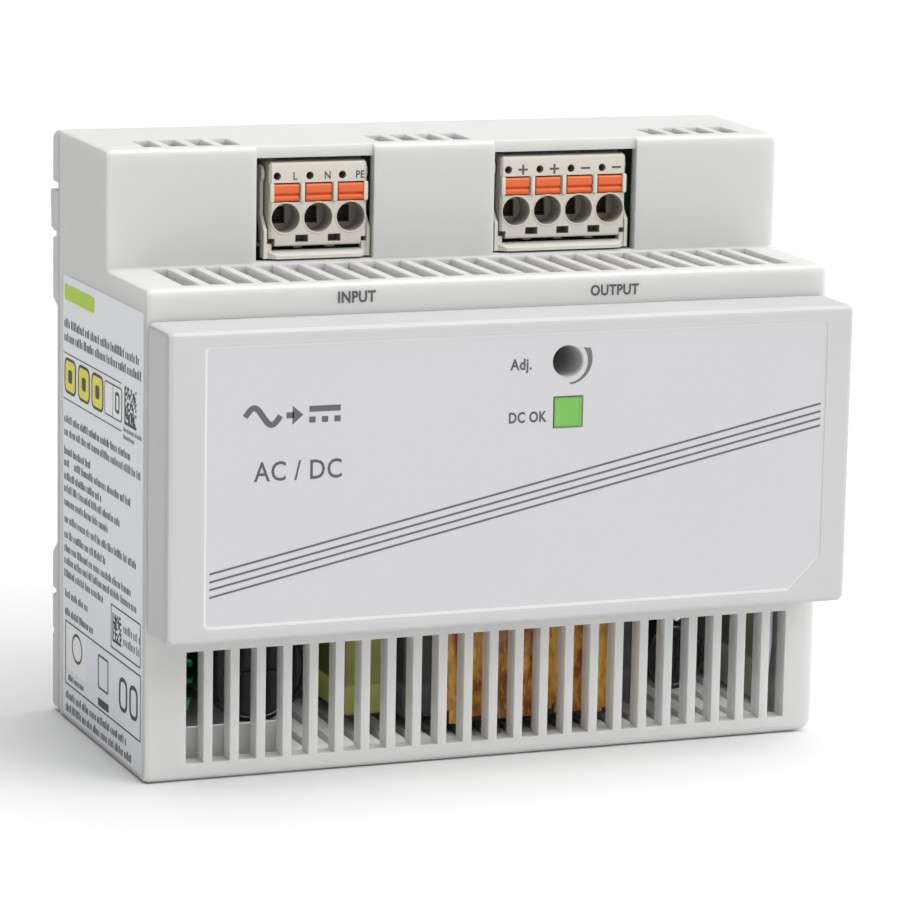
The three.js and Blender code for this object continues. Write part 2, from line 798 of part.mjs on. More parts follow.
function smallParts() {
  const fuse = alongX(
    [
      [8.4, 76.4, 1.4],
      [13.8, 76.4, 1.4],
      [13.8, 81.8, 1.4],
      [8.4, 81.8, 1.4],
    ],
    -48,
    -35,
    0.4,
  );
  add("input_fuse", fuse, 0x6f4a2e, 0.45);
  disc("varistor", -45.5, 60, 6.2, 0x2f62a8);
  disc("inrush_limiter", -38.5, 61, 5.2, 0x2b2d2a);
  disc("y_capacitor_1", -4.5, 78, 3.6, 0x3577b4);
  disc("y_capacitor_2", 2.2, 78, 3.6, 0x3577b4);
  blockPart("bridge_rectifier", -50, -29.5, 11.4, 41, 51, 0x1c1d1e, 0.4);
  blockPart("optocoupler", 26.5, 33, 12.4, 66, 71, 0x222325, 0.5);
}

function toroids() {
  toroid("choke_core", -46.3, -4, 13.6, 6.6, 2.2, "x", 0x2c7a4e, 0.35);
  ringCoil("choke_winding", -46.3, -4, 13.6, 6.6, 2.95, 2.2, 4.1, 6, 0.4);
  toroid("output_choke_core", 39.2, 4, 54.5, 6.8, 2.5, "x", 0xb9b23a, 0.4);
  ringCoil("output_choke_winding", 39.2, 4, 54.5, 6.8, 3.45, -2.4, 2.4, 11, 0.5);
}

function controlStage() {
  const y1 = -11;
  const y0 = y1 - 1.6;
  add("control_board", box(-16, 24, y0, y1, 42, 68), 0x2f6b45, 0.5);
  add("board_link", box(-13, 13, y1 + 0.2, PCB_Y - GAP, 66, 68.4), 0x18191a, 0.5);
  add("controller_chip", box(-10, -4, y0 - 1.7, y0 - 0.2, 54, 62), 0x1a1b1c, 0.5);
  const body = box(ADJ[0] - 3.3, ADJ[0] + 3.3, y0 - 4.4, y0 - 0.2, ADJ[1] - 3.3, ADJ[1] + 3.3);
  const bore = cylinder("y", 1.05, y0 - 5, y0 - 1.6, ADJ[0], ADJ[1], 16);
  add("trimmer_body", cut(body, [bore]), 0x2a5da0, 0.45);
  const rotor = join([
    cylinder("y", 1, y0 - 4.8, y0 - 1.8, ADJ[0], ADJ[1], 16),
    cylinder("y", 1.8, y0 - 6, y0 - 4.6, ADJ[0], ADJ[1], 16),
  ]);
  const slot = [
    box(ADJ[0] - 1.4, ADJ[0] + 1.4, y0 - 7, y0 - 5.2, ADJ[1] - 0.28, ADJ[1] + 0.28),
    box(ADJ[0] - 0.28, ADJ[0] + 0.28, y0 - 7, y0 - 5.2, ADJ[1], ADJ[1] + 1.4),
  ];
  add("trimmer_rotor", cut(rotor, slot), 0xe8e4d6, 0.5);
  const led = latheY(
    [
      [0, y0 - 2.6],
      [0.9, y0 - 2.3],
      [1.4, y0 - 1.5],
      [1.4, y0 - 0.2],
      [0, y0 - 0.2],
    ],
    OK_WIN[0],
    OK_WIN[1],
    12,
  );
  add("dc_ok_led", led, 0x8fe07a, 0.3);
  const half = OK_WIN[2] / 2 - 0.12;
  const x = OK_WIN[0];
  const z = OK_WIN[1];
  const head = box(x - half, x + half, Y_CAP + 0.15, Y_CAP + 2, z - half, z + half);
  const stem = box(x - 1.6, x + 1.6, Y_CAP + 1.5, y0 - 2.9, z - 1.6, z + 1.6);
  add("dc_ok_light_pipe", join([head, stem]), 0x7cc653, 0.35);
}

// Sheet along the right side, cut back towards the bottom.
function insulationSheet() {
  const outline = [
    [-16.2, 13],
    [-15, 7],
    [-15, 3.4],
    [14, 3.4],
    [14, 66],
    [-16.2, 66],
  ];
  return alongX(outline.reverse(), 47.2, 47.7);
}

// Capacitor cans: name, x, z, radius, length.
const CANS = [
  ["bulk_capacitor_1", -34.2, 14.2, 8, 29],
  ["bulk_capacitor_2", -34.2, 31.4, 8, 29],
  ["output_capacitor_1", 32.9, 11.4, 5, 29],
  ["output_capacitor_2", 32.9, 22.6, 5, 25],
  ["output_capacitor_3", 41.6, 36.4, 5, 21],
];

function powerStage() {
  for (const can of CANS) canCapacitor(...can, 0x18191c);
  blockPart("x_capacitor", -19.2, -12, -9, 5, 30, 0x8f9438, 0.45);
  transformer();
  heatsink("primary_heatsink", -22, 37, 64, -9, 1, 0x8b8f94);
  powerPackage("switching_transistor", -25.9, 50, -9);
  heatsink("output_heatsink", 29.8, 35.4, 62, -8, -1, 0x8b8f94);
  powerPackage("output_rectifier", 32.1, 41, -8);
  add("insulation_sheet", insulationSheet(), 0xd7d6e2, 0.4);
}

// ---- assembly ---------------------------------------------------------------------
frontHousing();
frontCap();
frontLabel();
sideLabel();
rearBase();
dinLatch();
latchSpring();
plug("input_plug", INPUT_X, 3);
["l", "n", "pe"].forEach((p, i) => pusher("input_pusher_" + p, poleX(INPUT_X, 3, i)));
lockLever("input_lock_lever", INPUT_X, 3);
header("input_header", INPUT_X, 3);
plug("output_plug", OUTPUT_X, 4);
for (let i = 0; i < 4; i++) pusher("output_pusher_" + (i + 1), poleX(OUTPUT_X, 4, i));
lockLever("output_lock_lever", OUTPUT_X, 4);
header("output_header", OUTPUT_X, 4);
mainBoard();
boardScrews();
powerStage();
smallParts();
toroids();
controlStage();

export default group;
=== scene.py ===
"""DIN rail power supply: its looks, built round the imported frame. Front faces -Y, +Z is up.

Sizes below are millimetres unless a name says otherwise; MM turns them into metres."""

import json
import math
import random

import bmesh
import bpy
from mathutils import Matrix, Vector


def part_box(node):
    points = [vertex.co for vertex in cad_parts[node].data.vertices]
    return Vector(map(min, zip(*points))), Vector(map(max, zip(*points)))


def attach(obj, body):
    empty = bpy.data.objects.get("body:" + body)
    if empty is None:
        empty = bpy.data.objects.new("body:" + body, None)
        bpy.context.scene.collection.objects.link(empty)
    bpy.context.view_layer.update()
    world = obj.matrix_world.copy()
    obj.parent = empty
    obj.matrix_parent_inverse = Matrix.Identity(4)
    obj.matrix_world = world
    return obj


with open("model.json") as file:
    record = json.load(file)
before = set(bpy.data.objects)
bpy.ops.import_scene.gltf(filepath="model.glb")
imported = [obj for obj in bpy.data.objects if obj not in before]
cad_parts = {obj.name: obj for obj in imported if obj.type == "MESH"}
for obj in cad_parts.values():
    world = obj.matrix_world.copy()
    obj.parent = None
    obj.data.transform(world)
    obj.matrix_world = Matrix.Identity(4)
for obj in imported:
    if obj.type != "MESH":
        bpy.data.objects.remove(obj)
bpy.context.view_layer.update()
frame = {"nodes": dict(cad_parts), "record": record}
nodes = frame["nodes"]
MM = 0.001
PRINT_SEED, FINE_PRINT_SEED, CODE_SEED, TAPE_SEED = 3, 4, 5, 11


def corners(node):
    """Lowest and highest corner of a CAD node, in millimetres."""
    low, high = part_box(node)
    return low / MM, high / MM


# ---- camera, floor and light --------------------------------------------------------
TARGET = Vector((-0.373, -2.5, 43.323)) * MM
DISTANCE = 0.6185
AZIMUTH, ELEVATION, ROLL = -21.10, 10.767, 1.08
LENS = 164.41


def make_camera():
    """Long lens from the front left, a little above the object."""
    a, e, r = (math.radians(v) for v in (AZIMUTH, ELEVATION, ROLL))
    back = Vector((math.sin(a) * math.cos(e), -math.cos(a) * math.cos(e), math.sin(e)))
    right = Vector((math.cos(a), math.sin(a), 0))
    up = back.cross(right)
    x_axis = right * math.cos(r) + up * math.sin(r)
    y_axis = up * math.cos(r) - right * math.sin(r)
    turn = Matrix((x_axis, y_axis, back)).transposed()
    data = bpy.data.cameras.new("camera")
    data.lens = LENS
    data.sensor_width = 36
    data.clip_start, data.clip_end = 0.01, 20
    camera = bpy.data.objects.new("camera", data)
    camera.matrix_world = Matrix.Translation(TARGET + back * DISTANCE) @ turn.to_4x4()
    bpy.context.scene.collection.objects.link(camera)
    bpy.context.scene.camera = camera


# Broad soft lights from far away: name, direction each comes from, strength and spread in degrees.
SUNS = (("key", (0.5, -0.6, 0.75), 1.2, 40), ("top", (0.08, -0.08, 1), 1.25, 50))
# Lights inside the housing: name, y and z of the middle, depth and watts.
INSIDE = (("inside_front", -14.4, 38, 3, 0.014), ("inside_floor", -5, 9.6, 20, 0.004))
INSIDE_W = 96
FLOOR_HALF, FLOOR_DROP = 3000, 0.1


def aim(light, direction):
    """Turns a light that shines along -Z so that its light comes from a direction."""
    light.rotation_euler = Vector(direction).to_track_quat("Z", "Y").to_euler()
    bpy.context.scene.collection.objects.link(light)


def sun_light(name, direction, strength, spread):
    data = bpy.data.lights.new(name, "SUN")
    data.energy = strength
    data.angle = math.radians(spread)
    aim(bpy.data.objects.new(name, data), direction)


def inside_light(name, y, z, depth, watts):
    """Stands in for daylight that filters through the pale housing; shines down on what is below."""
    data = bpy.data.lights.new(name, "AREA")
    data.shape = "RECTANGLE"
    data.size, data.size_y = INSIDE_W * MM, depth * MM
    data.energy = watts
    light = bpy.data.objects.new(name, data)
    light.location = Vector((0, y, z)) * MM
    light.visible_camera = False
    aim(light, (0, 0, 1))


WORLD_LEVEL = 0.42
WORLD_SLOPE = Vector((0.44, -0.1, 0.42))  # brighter to the right, to the front and overhead


def make_world():
    """White studio: soft light with a gentle slope, and a plain white backdrop."""
    world = bpy.data.worlds.new("studio")
    bpy.context.scene.world = world
    world.use_nodes = True
    tree = world.node_tree
    tree.nodes.clear()
    side = tree.nodes.new("ShaderNodeVectorMath")
    side.operation = "DOT_PRODUCT"
    side.inputs[1].default_value = WORLD_SLOPE
    level = tree.nodes.new("ShaderNodeMath")
    level.operation = "ADD"
    level.use_clamp = True
    level.inputs[1].default_value = WORLD_LEVEL
    sloped = tree.nodes.new("ShaderNodeBackground")
    seen = tree.nodes.new("ShaderNodeBackground")
    path = tree.nodes.new("ShaderNodeLightPath")
    mix = tree.nodes.new("ShaderNodeMixShader")
    output = tree.nodes.new("ShaderNodeOutputWorld")
    for background in (sloped, seen):
        background.inputs["Color"].default_value = (1, 1, 1, 1)
    tree.links.new(tree.nodes.new("ShaderNodeTexCoord").outputs["Generated"], side.inputs[0])
    tree.links.new(side.outputs["Value"], level.inputs[0])
    tree.links.new(level.outputs[0], sloped.inputs["Strength"])
    tree.links.new(path.outputs["Is Camera Ray"], mix.inputs[0])
    tree.links.new(sloped.outputs[0], mix.inputs[1])
    tree.links.new(seen.outputs[0], mix.inputs[2])
    tree.links.new(mix.outputs[0], output.inputs[0])


# ---- materials ----------------------------------------------------------------------
def rgb(*levels):
    """Linear colour from 0-255 screen levels."""
    out = []
    for level in levels:
        c = level / 255
        out.append(c / 12.92 if c <= 0.04045 else ((c + 0.055) / 1.055) ** 2.4)
    return tuple(out)


def shade(colour, factor):
    return tuple(min(1, c * factor) for c in colour)


class Shader:
    """One procedural material: a Principled shader and the nodes that feed it."""

    def __init__(self, name, **constants):
        self.material = bpy.data.materials.new(name)
        self.material.use_nodes = True
        self.tree = self.material.node_tree
        self.tree.nodes.clear()
        self.bsdf = self.tree.nodes.new("ShaderNodeBsdfPrincipled")
        output = self.tree.nodes.new("ShaderNodeOutputMaterial")
        self.tree.links.new(self.bsdf.outputs[0], output.inputs[0])
        self.place = self.tree.nodes.new("ShaderNodeTexCoord").outputs["Object"]
        self.height = None
        for socket, value in constants.items():
            self.bsdf.inputs[socket.replace("_", " ")].default_value = value

    def put(self, value, socket):
        if isinstance(value, bpy.types.NodeSocket):
            self.tree.links.new(value, socket)
        elif isinstance(value, tuple):
            socket.default_value = (*value, 1) if len(value) == 3 else value
        else:
            socket.default_value = value

    def noise(self, size, detail=2.0, rough=0.5, stretch=(1, 1, 1)):
        """0 to 1 clouds of about this size in millimetres."""
        node = self.tree.nodes.new("ShaderNodeTexNoise")
        node.inputs["Scale"].default_value = 1 / (size * MM)
        node.inputs["Detail"].default_value = detail
        node.inputs["Roughness"].default_value = rough
        self.tree.links.new(self.stretched(stretch), node.inputs["Vector"])
        return node.outputs["Fac"]

    def stretched(self, stretch):
        node = self.tree.nodes.new("ShaderNodeMapping")
        node.inputs["Scale"].default_value = stretch
        self.tree.links.new(self.place, node.inputs["Vector"])
        return node.outputs[0]

    def cells(self, size, stretch):
        """Distance from the middle of cells of about this size in millimetres."""
        node = self.tree.nodes.new("ShaderNodeTexVoronoi")
        node.inputs["Scale"].default_value = 1 / (size * MM)
        self.tree.links.new(self.stretched(stretch), node.inputs["Vector"])
        return node.outputs["Distance"]

    def along(self, axis):
        """The coordinate along an axis, in millimetres."""
        split = self.tree.nodes.new("ShaderNodeSeparateXYZ")
        self.tree.links.new(self.place, split.inputs[0])
        return self.maths("MULTIPLY", split.outputs[axis], 1 / MM)

    def maths(self, operation, a, b=0.0):
        node = self.tree.nodes.new("ShaderNodeMath")
        node.operation = operation
        self.put(a, node.inputs[0])
        self.put(b, node.inputs[1])
        return node.outputs[0]

    def span(self, value, low, high, start=0.0, end=1.0):
        """value from start..end mapped to low..high, clamped."""
        node = self.tree.nodes.new("ShaderNodeMapRange")
        self.put(value, node.inputs["Value"])
        node.inputs["From Min"].default_value = start
        node.inputs["From Max"].default_value = end
        node.inputs["To Min"].default_value = low
        node.inputs["To Max"].default_value = high
        return node.outputs[0]

    def mix(self, amount, a, b):
        node = self.tree.nodes.new("ShaderNodeMix")
        node.data_type = "RGBA"
        self.put(amount, node.inputs[0])
        self.put(a, node.inputs[6])
        self.put(b, node.inputs[7])
        return node.outputs[2]

    def edges(self, radius):
        """Near 1 on edges, 0 on flats."""
        bevel = self.tree.nodes.new("ShaderNodeBevel")
        bevel.samples = 4
        bevel.inputs["Radius"].default_value = radius * MM
        true_normal = self.tree.nodes.new("ShaderNodeNewGeometry").outputs["Normal"]
        dot = self.tree.nodes.new("ShaderNodeVectorMath")
        dot.operation = "DOT_PRODUCT"
        self.tree.links.new(bevel.outputs[0], dot.inputs[0])
        self.tree.links.new(true_normal, dot.inputs[1])
        return self.span(dot.outputs["Value"], 1, 0, 0.75, 0.99)

    def crevice(self, distance):
        """1 in the open, 0 deep in a corner."""
        node = self.tree.nodes.new("ShaderNodeAmbientOcclusion")
        node.samples = 4
        node.inputs["Distance"].default_value = distance * MM
        return node.outputs["AO"]

    def bump(self, height, depth):
        """Adds relief of this depth in millimetres."""
        node = self.tree.nodes.new("ShaderNodeBump")
        node.inputs["Strength"].default_value = 1
        node.inputs["Distance"].default_value = depth * MM
        self.put(height, node.inputs["Height"])
        if self.height is not None:
            self.tree.links.new(self.height, node.inputs["Normal"])
        self.height = node.outputs[0]
        return self

    def finish(self, colour, rough):
        self.put(colour, self.bsdf.inputs["Base Color"])
        self.put(rough, self.bsdf.inputs["Roughness"])
        if self.height is not None:
            self.tree.links.new(self.height, self.bsdf.inputs["Normal"])
        return self.material


def moulded(name, colour, rough=0.46, grain=0.32, depth=0.006, mottle=0.025, edge_wear_and_highlight=1.05, crevice_shade=0.95,
            reach=2.5, **constants):
    """Injection moulded plastic: spark-eroded grain, faint flow clouds, painted shade in crevices, and edges
    lightened a little, partly as wear and partly as a painted highlight.
    """
    s = Shader(name, **constants)
    clouds = s.noise(26, 3)
    fine = s.noise(grain, 3)
    base = s.mix(clouds, shade(colour, 1 - mottle), shade(colour, 1 + mottle))
    # painted shade: the colour darkens where ambient occlusion finds a crevice, corner or recess
    crevice_shaded = s.mix(s.span(s.crevice(reach), 1, 0, 0.1, 0.8), base, shade(colour, crevice_shade))
    # edges lightened: partly wear, partly a painted highlight
    rubbed_and_highlit = s.mix(s.maths("MULTIPLY", s.edges(0.45), 0.5), crevice_shaded, shade(colour, edge_wear_and_highlight))
    s.bump(fine, depth)
    return s.finish(rubbed_and_highlit, s.span(fine, rough - 0.07, rough + 0.07, 0.3, 0.7))


def printed(name, colour):
    """Screen-printed ink, a little uneven in tone."""
    s = Shader(name)
    fine = s.noise(0.25, 2)
    uneven = s.mix(fine, shade(colour, 0.85), shade(colour, 1.2))
    return s.finish(uneven, s.span(fine, 0.45, 0.6))


def film(name, colour, rough=0.38):
    """Polyester label film with a fine matt texture."""
    s = Shader(name)
    fine = s.noise(0.2, 2)
    clouds = s.noise(30, 2)
    s.bump(fine, 0.002)
    toned = s.mix(clouds, shade(colour, 0.975), shade(colour, 1.02))
    return s.finish(toned, s.span(fine, rough - 0.05, rough + 0.06))


def sheet_film(name, edge, deep):
    """Clear-ish sheet: painted bright at its lit front edge, and painted in shade where it runs back past the
    parts.
    """
    s = Shader(name)
    fine = s.noise(0.4, 2)
    clouds = s.noise(9, 3)
    s.bump(clouds, 0.12).bump(fine, 0.003)
    # painted shade: the colour runs along Y from the lit edge colour to the shaded colour further back
    toned = s.mix(s.span(s.along("Y"), 0, 1, -15.4, -12.5), edge, deep)
    return s.finish(s.mix(s.span(clouds, 0, 0.35), toned, shade(deep, 0.7)), s.span(fine, 0.25, 0.4))


def metal(name, colour, rough=0.32, brush=(1, 1, 12)):
    """Bare metal with drawn or rolled lines and faint stains; edges lightened, partly as wear and partly as a
    painted highlight.
    """
    s = Shader(name, Metallic=1.0)
    lines = s.noise(0.6, 3, 0.6, brush)
    stain = s.noise(5, 3)
    s.bump(lines, 0.004)
    toned = s.mix(stain, shade(colour, 0.8), shade(colour, 1.1))
    # edges lightened: partly wear, partly a painted highlight
    rubbed_and_highlit = s.mix(s.edges(0.3), toned, shade(colour, 1.25))
    return s.finish(rubbed_and_highlit, s.span(lines, rough - 0.1, rough + 0.12))


def epoxy(name, colour, rough=0.35, grain=0.5, depth=0.012):
    """Dipped or moulded component body."""
    s = Shader(name)
    lumps = s.noise(grain * 6, 3)
    fine = s.noise(grain, 3)
    s.bump(lumps, depth * 4).bump(fine, depth)
    toned = s.mix(lumps, shade(colour, 0.8), shade(colour, 1.2))
    return s.finish(toned, s.span(fine, rough - 0.08, rough + 0.1))


def laminate(name, mask, track):
    """Circuit board: solder mask over faint copper tracks."""
    s = Shader(name)
    cells = s.cells(2.2, (1, 0.2, 1))
    tracks = s.span(cells, 0, 1, 0.28, 0.34)
    fine = s.noise(0.3, 2)
    s.bump(tracks, 0.03).bump(fine, 0.004)
    mask_tone = s.mix(fine, shade(mask, 0.85), shade(mask, 1.15))
    return s.finish(s.mix(tracks, track, mask_tone), s.span(fine, 0.28, 0.42))


def wound(name, colour, pitch):
    """Enamelled copper wire, with burnt and bright patches."""
    s = Shader(name, Metallic=0.85)
    patch = s.noise(1.6, 3)
    fine = s.noise(pitch, 2)
    s.bump(fine, 0.02)
    toned = s.mix(patch, shade(colour, 0.45), shade(colour, 1.25))
    return s.finish(toned, s.span(patch, 0.22, 0.5))


def sleeve(name, colour):
    """Shrunk PVC sleeve, glossy with a slight orange peel."""
    s = Shader(name, Specular_IOR_Level=0.22)
    peel = s.noise(1.4, 2)
    s.bump(peel, 0.03)
    return s.finish(s.mix(peel, shade(colour, 0.8), shade(colour, 1.35)), s.span(peel, 0.16, 0.3))


def tape(name, colour, stain):
    """Wrinkled yellow transformer tape over copper, darker where varnish soaked in, with painted highlights
    on the creases.
    """
    s = Shader(name, Coat_Weight=0.35, Coat_Roughness=0.2)
    wrinkle = s.noise(2.4, 4, 0.6, (1, 1, 0.55))
    crease = s.noise(0.7, 3, 0.6, (1, 1, 0.4))
    blotch = s.noise(3.4, 3, 0.55, (0.8, 1, 0.45))
    s.bump(wrinkle, 0.5).bump(crease, 0.12)
    tone = s.mix(s.span(blotch, 0, 1, 0.42, 0.62), stain, colour)
    # painted highlight: crease peaks lightened towards a brighter tape colour
    bright = s.mix(s.span(crease, 0, 0.7, 0.5, 0.75), tone, shade(colour, 1.5))
    return s.finish(bright, s.span(crease, 0.22, 0.5))


def glowing_clear_green(name, colour):
    """Tinted clear plastic with a faint painted glow, as if lit from behind."""
    # painted glow: faint emission in the plastic's own colour, though the part is no lamp
    s = Shader(name, Emission_Strength=0.12, Coat_Weight=0.4, Coat_Roughness=0.12)
    s.bsdf.inputs["Emission Color"].default_value = (*colour, 1)
    clouds = s.noise(3, 2)
    fine = s.noise(0.3, 2)
    s.bump(fine, 0.004)
    return s.finish(s.mix(clouds, shade(colour, 0.9), shade(colour, 1.12)), s.span(fine, 0.25, 0.35))


def floor_paper(name, colour):
    """Matt studio paper."""
    s = Shader(name)
    fine = s.noise(1.5, 3)
    s.bump(fine, 0.02)
    return s.finish(s.mix(fine, shade(colour, 0.99), colour), s.span(fine, 0.75, 0.9))


HOUSING = rgb(211, 211, 210)
IVORY = rgb(214, 209, 196)
LETS_LIGHT_IN = {"Subsurface_Weight": 0.65, "Subsurface_Scale": 0.003, "Subsurface_Radius": (1, 1, 1)}
LOOKS = {
    "housing_plastic": moulded("housing_plastic", HOUSING, **LETS_LIGHT_IN),
    "cap_plastic": moulded("cap_plastic", rgb(196, 196, 196), 0.44),
    "front_film": film("front_film", rgb(201, 201, 203)),
    "rating_film": film("rating_film", rgb(228, 231, 236), 0.34),
    "base_plastic": moulded("base_plastic", rgb(204, 205, 204), 0.5),
    "latch_plastic": moulded("latch_plastic", rgb(200, 201, 200), 0.5),
    "spring_steel": metal("spring_steel", rgb(190, 192, 196)),
    # painted shade: a strong, far-reaching crevice darkening makes the wire entries dark inside
    "terminal_plastic": moulded("terminal_plastic", IVORY, 0.42, 0.25, 0.004, 0.02, crevice_shade=0.42, reach=6),
    "pusher_plastic": moulded("pusher_plastic", rgb(228, 104, 52), 0.38, 0.25, 0.004, 0.03, 1.12),
    "lever_plastic": moulded("lever_plastic", rgb(222, 219, 208), 0.42, 0.25, 0.004, 0.02),
    "header_plastic": moulded("header_plastic", rgb(176, 176, 164), 0.5, 0.25, 0.004, 0.03),
    "board_laminate": laminate("board_laminate", rgb(24, 58, 40), rgb(44, 92, 60)),
    "zinc_screw": metal("zinc_screw", rgb(196, 198, 200), 0.3, (1, 1, 1)),
    "capacitor_sleeve": sleeve("capacitor_sleeve", rgb(15, 16, 18)),
    "film_capacitor_case": epoxy("film_capacitor_case", rgb(124, 127, 58), 0.36, 0.4, 0.006),
    "ferrite": epoxy("ferrite", rgb(52, 53, 57), 0.48, 0.3, 0.01),
    "winding_tape": tape("winding_tape", rgb(226, 172, 62), rgb(150, 78, 22)),
    "bobbin_plastic": moulded("bobbin_plastic", rgb(34, 34, 37), 0.4),
    "heatsink_aluminium": metal("heatsink_aluminium", rgb(150, 153, 158), 0.4, (1, 8, 1)),
    "package_epoxy": epoxy("package_epoxy", rgb(28, 29, 31), 0.45, 0.25, 0.006),
    # insulation film: lit front edge colour, then the painted shade colour further back
    "insulation_film": sheet_film("insulation_film", rgb(222, 220, 238), rgb(104, 105, 92)),
    "fuse_sleeve": sleeve("fuse_sleeve", rgb(112, 74, 46)),
    "blue_epoxy": epoxy("blue_epoxy", rgb(44, 94, 168), 0.3),
    "dark_epoxy": epoxy("dark_epoxy", rgb(44, 48, 42), 0.35),
    "green_core": epoxy("green_core", rgb(44, 122, 78), 0.22),
    "green_wire": wound("green_wire", rgb(62, 130, 88), 0.5),
    "enamelled_copper": wound("enamelled_copper", rgb(196, 112, 58), 0.5),
    "powder_core": epoxy("powder_core", rgb(186, 178, 58), 0.3),
    "trimmer_case": moulded("trimmer_case", rgb(42, 92, 160), 0.4),
    "rotor_plastic": moulded("rotor_plastic", rgb(232, 228, 214), 0.42),
    "led_lens": glowing_clear_green("led_lens", rgb(150, 226, 122)),
    "light_pipe": glowing_clear_green("light_pipe", rgb(104, 172, 70)),
    "link_plastic": moulded("link_plastic", rgb(26, 27, 28), 0.45),
}
INK = printed("grey_ink", rgb(84, 84, 86))
LABEL_INK = printed("label_ink", rgb(30, 31, 34))
FINE_INK = printed("fine_ink", rgb(112, 114, 120))
LIME_INK = printed("lime_ink", rgb(176, 214, 40))
YELLOW_INK = printed("yellow_ink", rgb(232, 222, 62))
WHITE_INK = printed("white_ink", rgb(250, 250, 252))
STRIPE_INK = printed("stripe_ink", rgb(96, 96, 98))
ARC_INK = printed("arc_ink", rgb(108, 104, 101))
# painted shade: the clamp steel is coloured dark brown to stand for the shade deep inside the wire entries
SHADED_CLAMP_STEEL = metal("shaded_clamp_steel", rgb(70, 60, 46), 0.55)
# painted highlight: the recess rim is a lighter grey than the cap plastic it belongs to
HIGHLIT_RIM_PLASTIC = moulded("highlit_rim_plastic", rgb(212, 212, 212), 0.4)
SIGN_INK = printed("sign_ink", rgb(92, 92, 94))
WINDOW_INK = printed("window_ink", rgb(120, 140, 94))


# ---- CAD nodes ----------------------------------------------------------------------
def node_group(name):
    group = bpy.data.node_groups.new(name, "GeometryNodeTree")
    group.interface.new_socket("Geometry", in_out="INPUT", socket_type="NodeSocketGeometry")
    group.interface.new_socket("Geometry", in_out="OUTPUT", socket_type="NodeSocketGeometry")
    return group, group.nodes.new("NodeGroupInput"), group.nodes.new("NodeGroupOutput")


def plain_normals():
    """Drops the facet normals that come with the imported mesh."""
    group, start, end = node_group("plain_normals")
    drop = group.nodes.new("GeometryNodeRemoveAttribute")
    drop.inputs["Name"].default_value = "custom_normal"
    group.links.new(start.outputs[0], drop.inputs["Geometry"])
    group.links.new(drop.outputs["Geometry"], end.inputs[0])
    return group


def smooth_under(degrees):
    """Smooth shading, split at edges sharper than this."""
    group, start, end = node_group("smooth_under")
    faces = group.nodes.new("GeometryNodeSetShadeSmooth")
    edges = group.nodes.new("GeometryNodeSetShadeSmooth")
    edges.domain = "EDGE"
    edges.inputs["Shade Smooth"].default_value = False
    angle = group.nodes.new("GeometryNodeInputMeshEdgeAngle")
    above = group.nodes.new("FunctionNodeCompare")
    above.operation = "GREATER_THAN"
    above.inputs["B"].default_value = math.radians(degrees)
    links = group.links
    links.new(angle.outputs["Unsigned Angle"], above.inputs["A"])
    links.new(start.outputs[0], faces.inputs["Geometry"])
    links.new(faces.outputs[0], edges.inputs["Geometry"])
    links.new(above.outputs[0], edges.inputs["Selection"])
    links.new(edges.outputs[0], end.inputs[0])
    return group


WELD_REACH = 1e-5  # metres
FLAT_LIMIT, BEVEL_LIMIT, PIECE_BEVEL_LIMIT, SMOOTH_LIMIT = 0.8, 28, 30, 34  # degrees between faces
PLAIN = plain_normals()
SMOOTH = smooth_under(SMOOTH_LIMIT)


def nodes_modifier(piece, group):
    piece.modifiers.new(group.name, "NODES").node_group = group


def round_edges(piece, width):
    """Joins flat facets, rounds the sharp edges by width millimetres and shades the rest smooth."""
    nodes_modifier(piece, PLAIN)
    weld = piece.modifiers.new("weld", "WELD")
    weld.merge_threshold = WELD_REACH
    flats = piece.modifiers.new("flats", "DECIMATE")
    flats.decimate_type = "DISSOLVE"
    flats.angle_limit = math.radians(FLAT_LIMIT)
    if width:
        bevel = piece.modifiers.new("bevel", "BEVEL")
        bevel.width = width * MM
        bevel.segments = 2
        bevel.limit_method = "ANGLE"
        bevel.angle_limit = math.radians(BEVEL_LIMIT)
        bevel.use_clamp_overlap = True
    nodes_modifier(piece, SMOOTH)
    normals = piece.modifiers.new("normals", "WEIGHTED_NORMAL")
    normals.keep_sharp = True


EDGE_USUAL = 0.12
EDGE = {
    "front_housing": 0.22,
    "front_cap": 0.22,
    "rear_base": 0.2,
    "din_latch": 0.25,
    "front_label": 0,
    "rating_label": 0,
    "latch_spring": 0,
    "choke_core": 0,
    "choke_winding": 0,
    "output_choke_core": 0,
    "output_choke_winding": 0,
    "insulation_sheet": 0.1,
}


def dress_nodes():
    """Gives every CAD node its material and its rounded edges."""
    for part in frame["record"]["subparts"]:
        piece = nodes[part["node"]]
        piece.data.materials.clear()
        piece.data.materials.append(LOOKS[part["material_slot"]])
        round_edges(piece, EDGE.get(part["node"], EDGE_USUAL))


# ---- outlines in a plane ------------------------------------------------------------
def rectangle(u0, u1, v0, v1):
    return [(u0, v0), (u1, v0), (u1, v1), (u0, v1)]


def arc(centre_u, centre_v, radius, first, last, steps=24):
    """Points from the first to the last angle, in degrees."""
    angles = [math.radians(first + (last - first) * i / steps) for i in range(steps + 1)]
    return [(centre_u + radius * math.cos(a), centre_v + radius * math.sin(a)) for a in angles]


def rounded(u0, u1, v0, v1, r):
    """Outline of a rectangle with round corners."""
    centres = ((u1 - r, v1 - r), (u0 + r, v1 - r), (u0 + r, v0 + r), (u1 - r, v0 + r))
    return [point for i, (u, v) in enumerate(centres) for point in arc(u, v, r, 90 * i, 90 * i + 90, 4)]


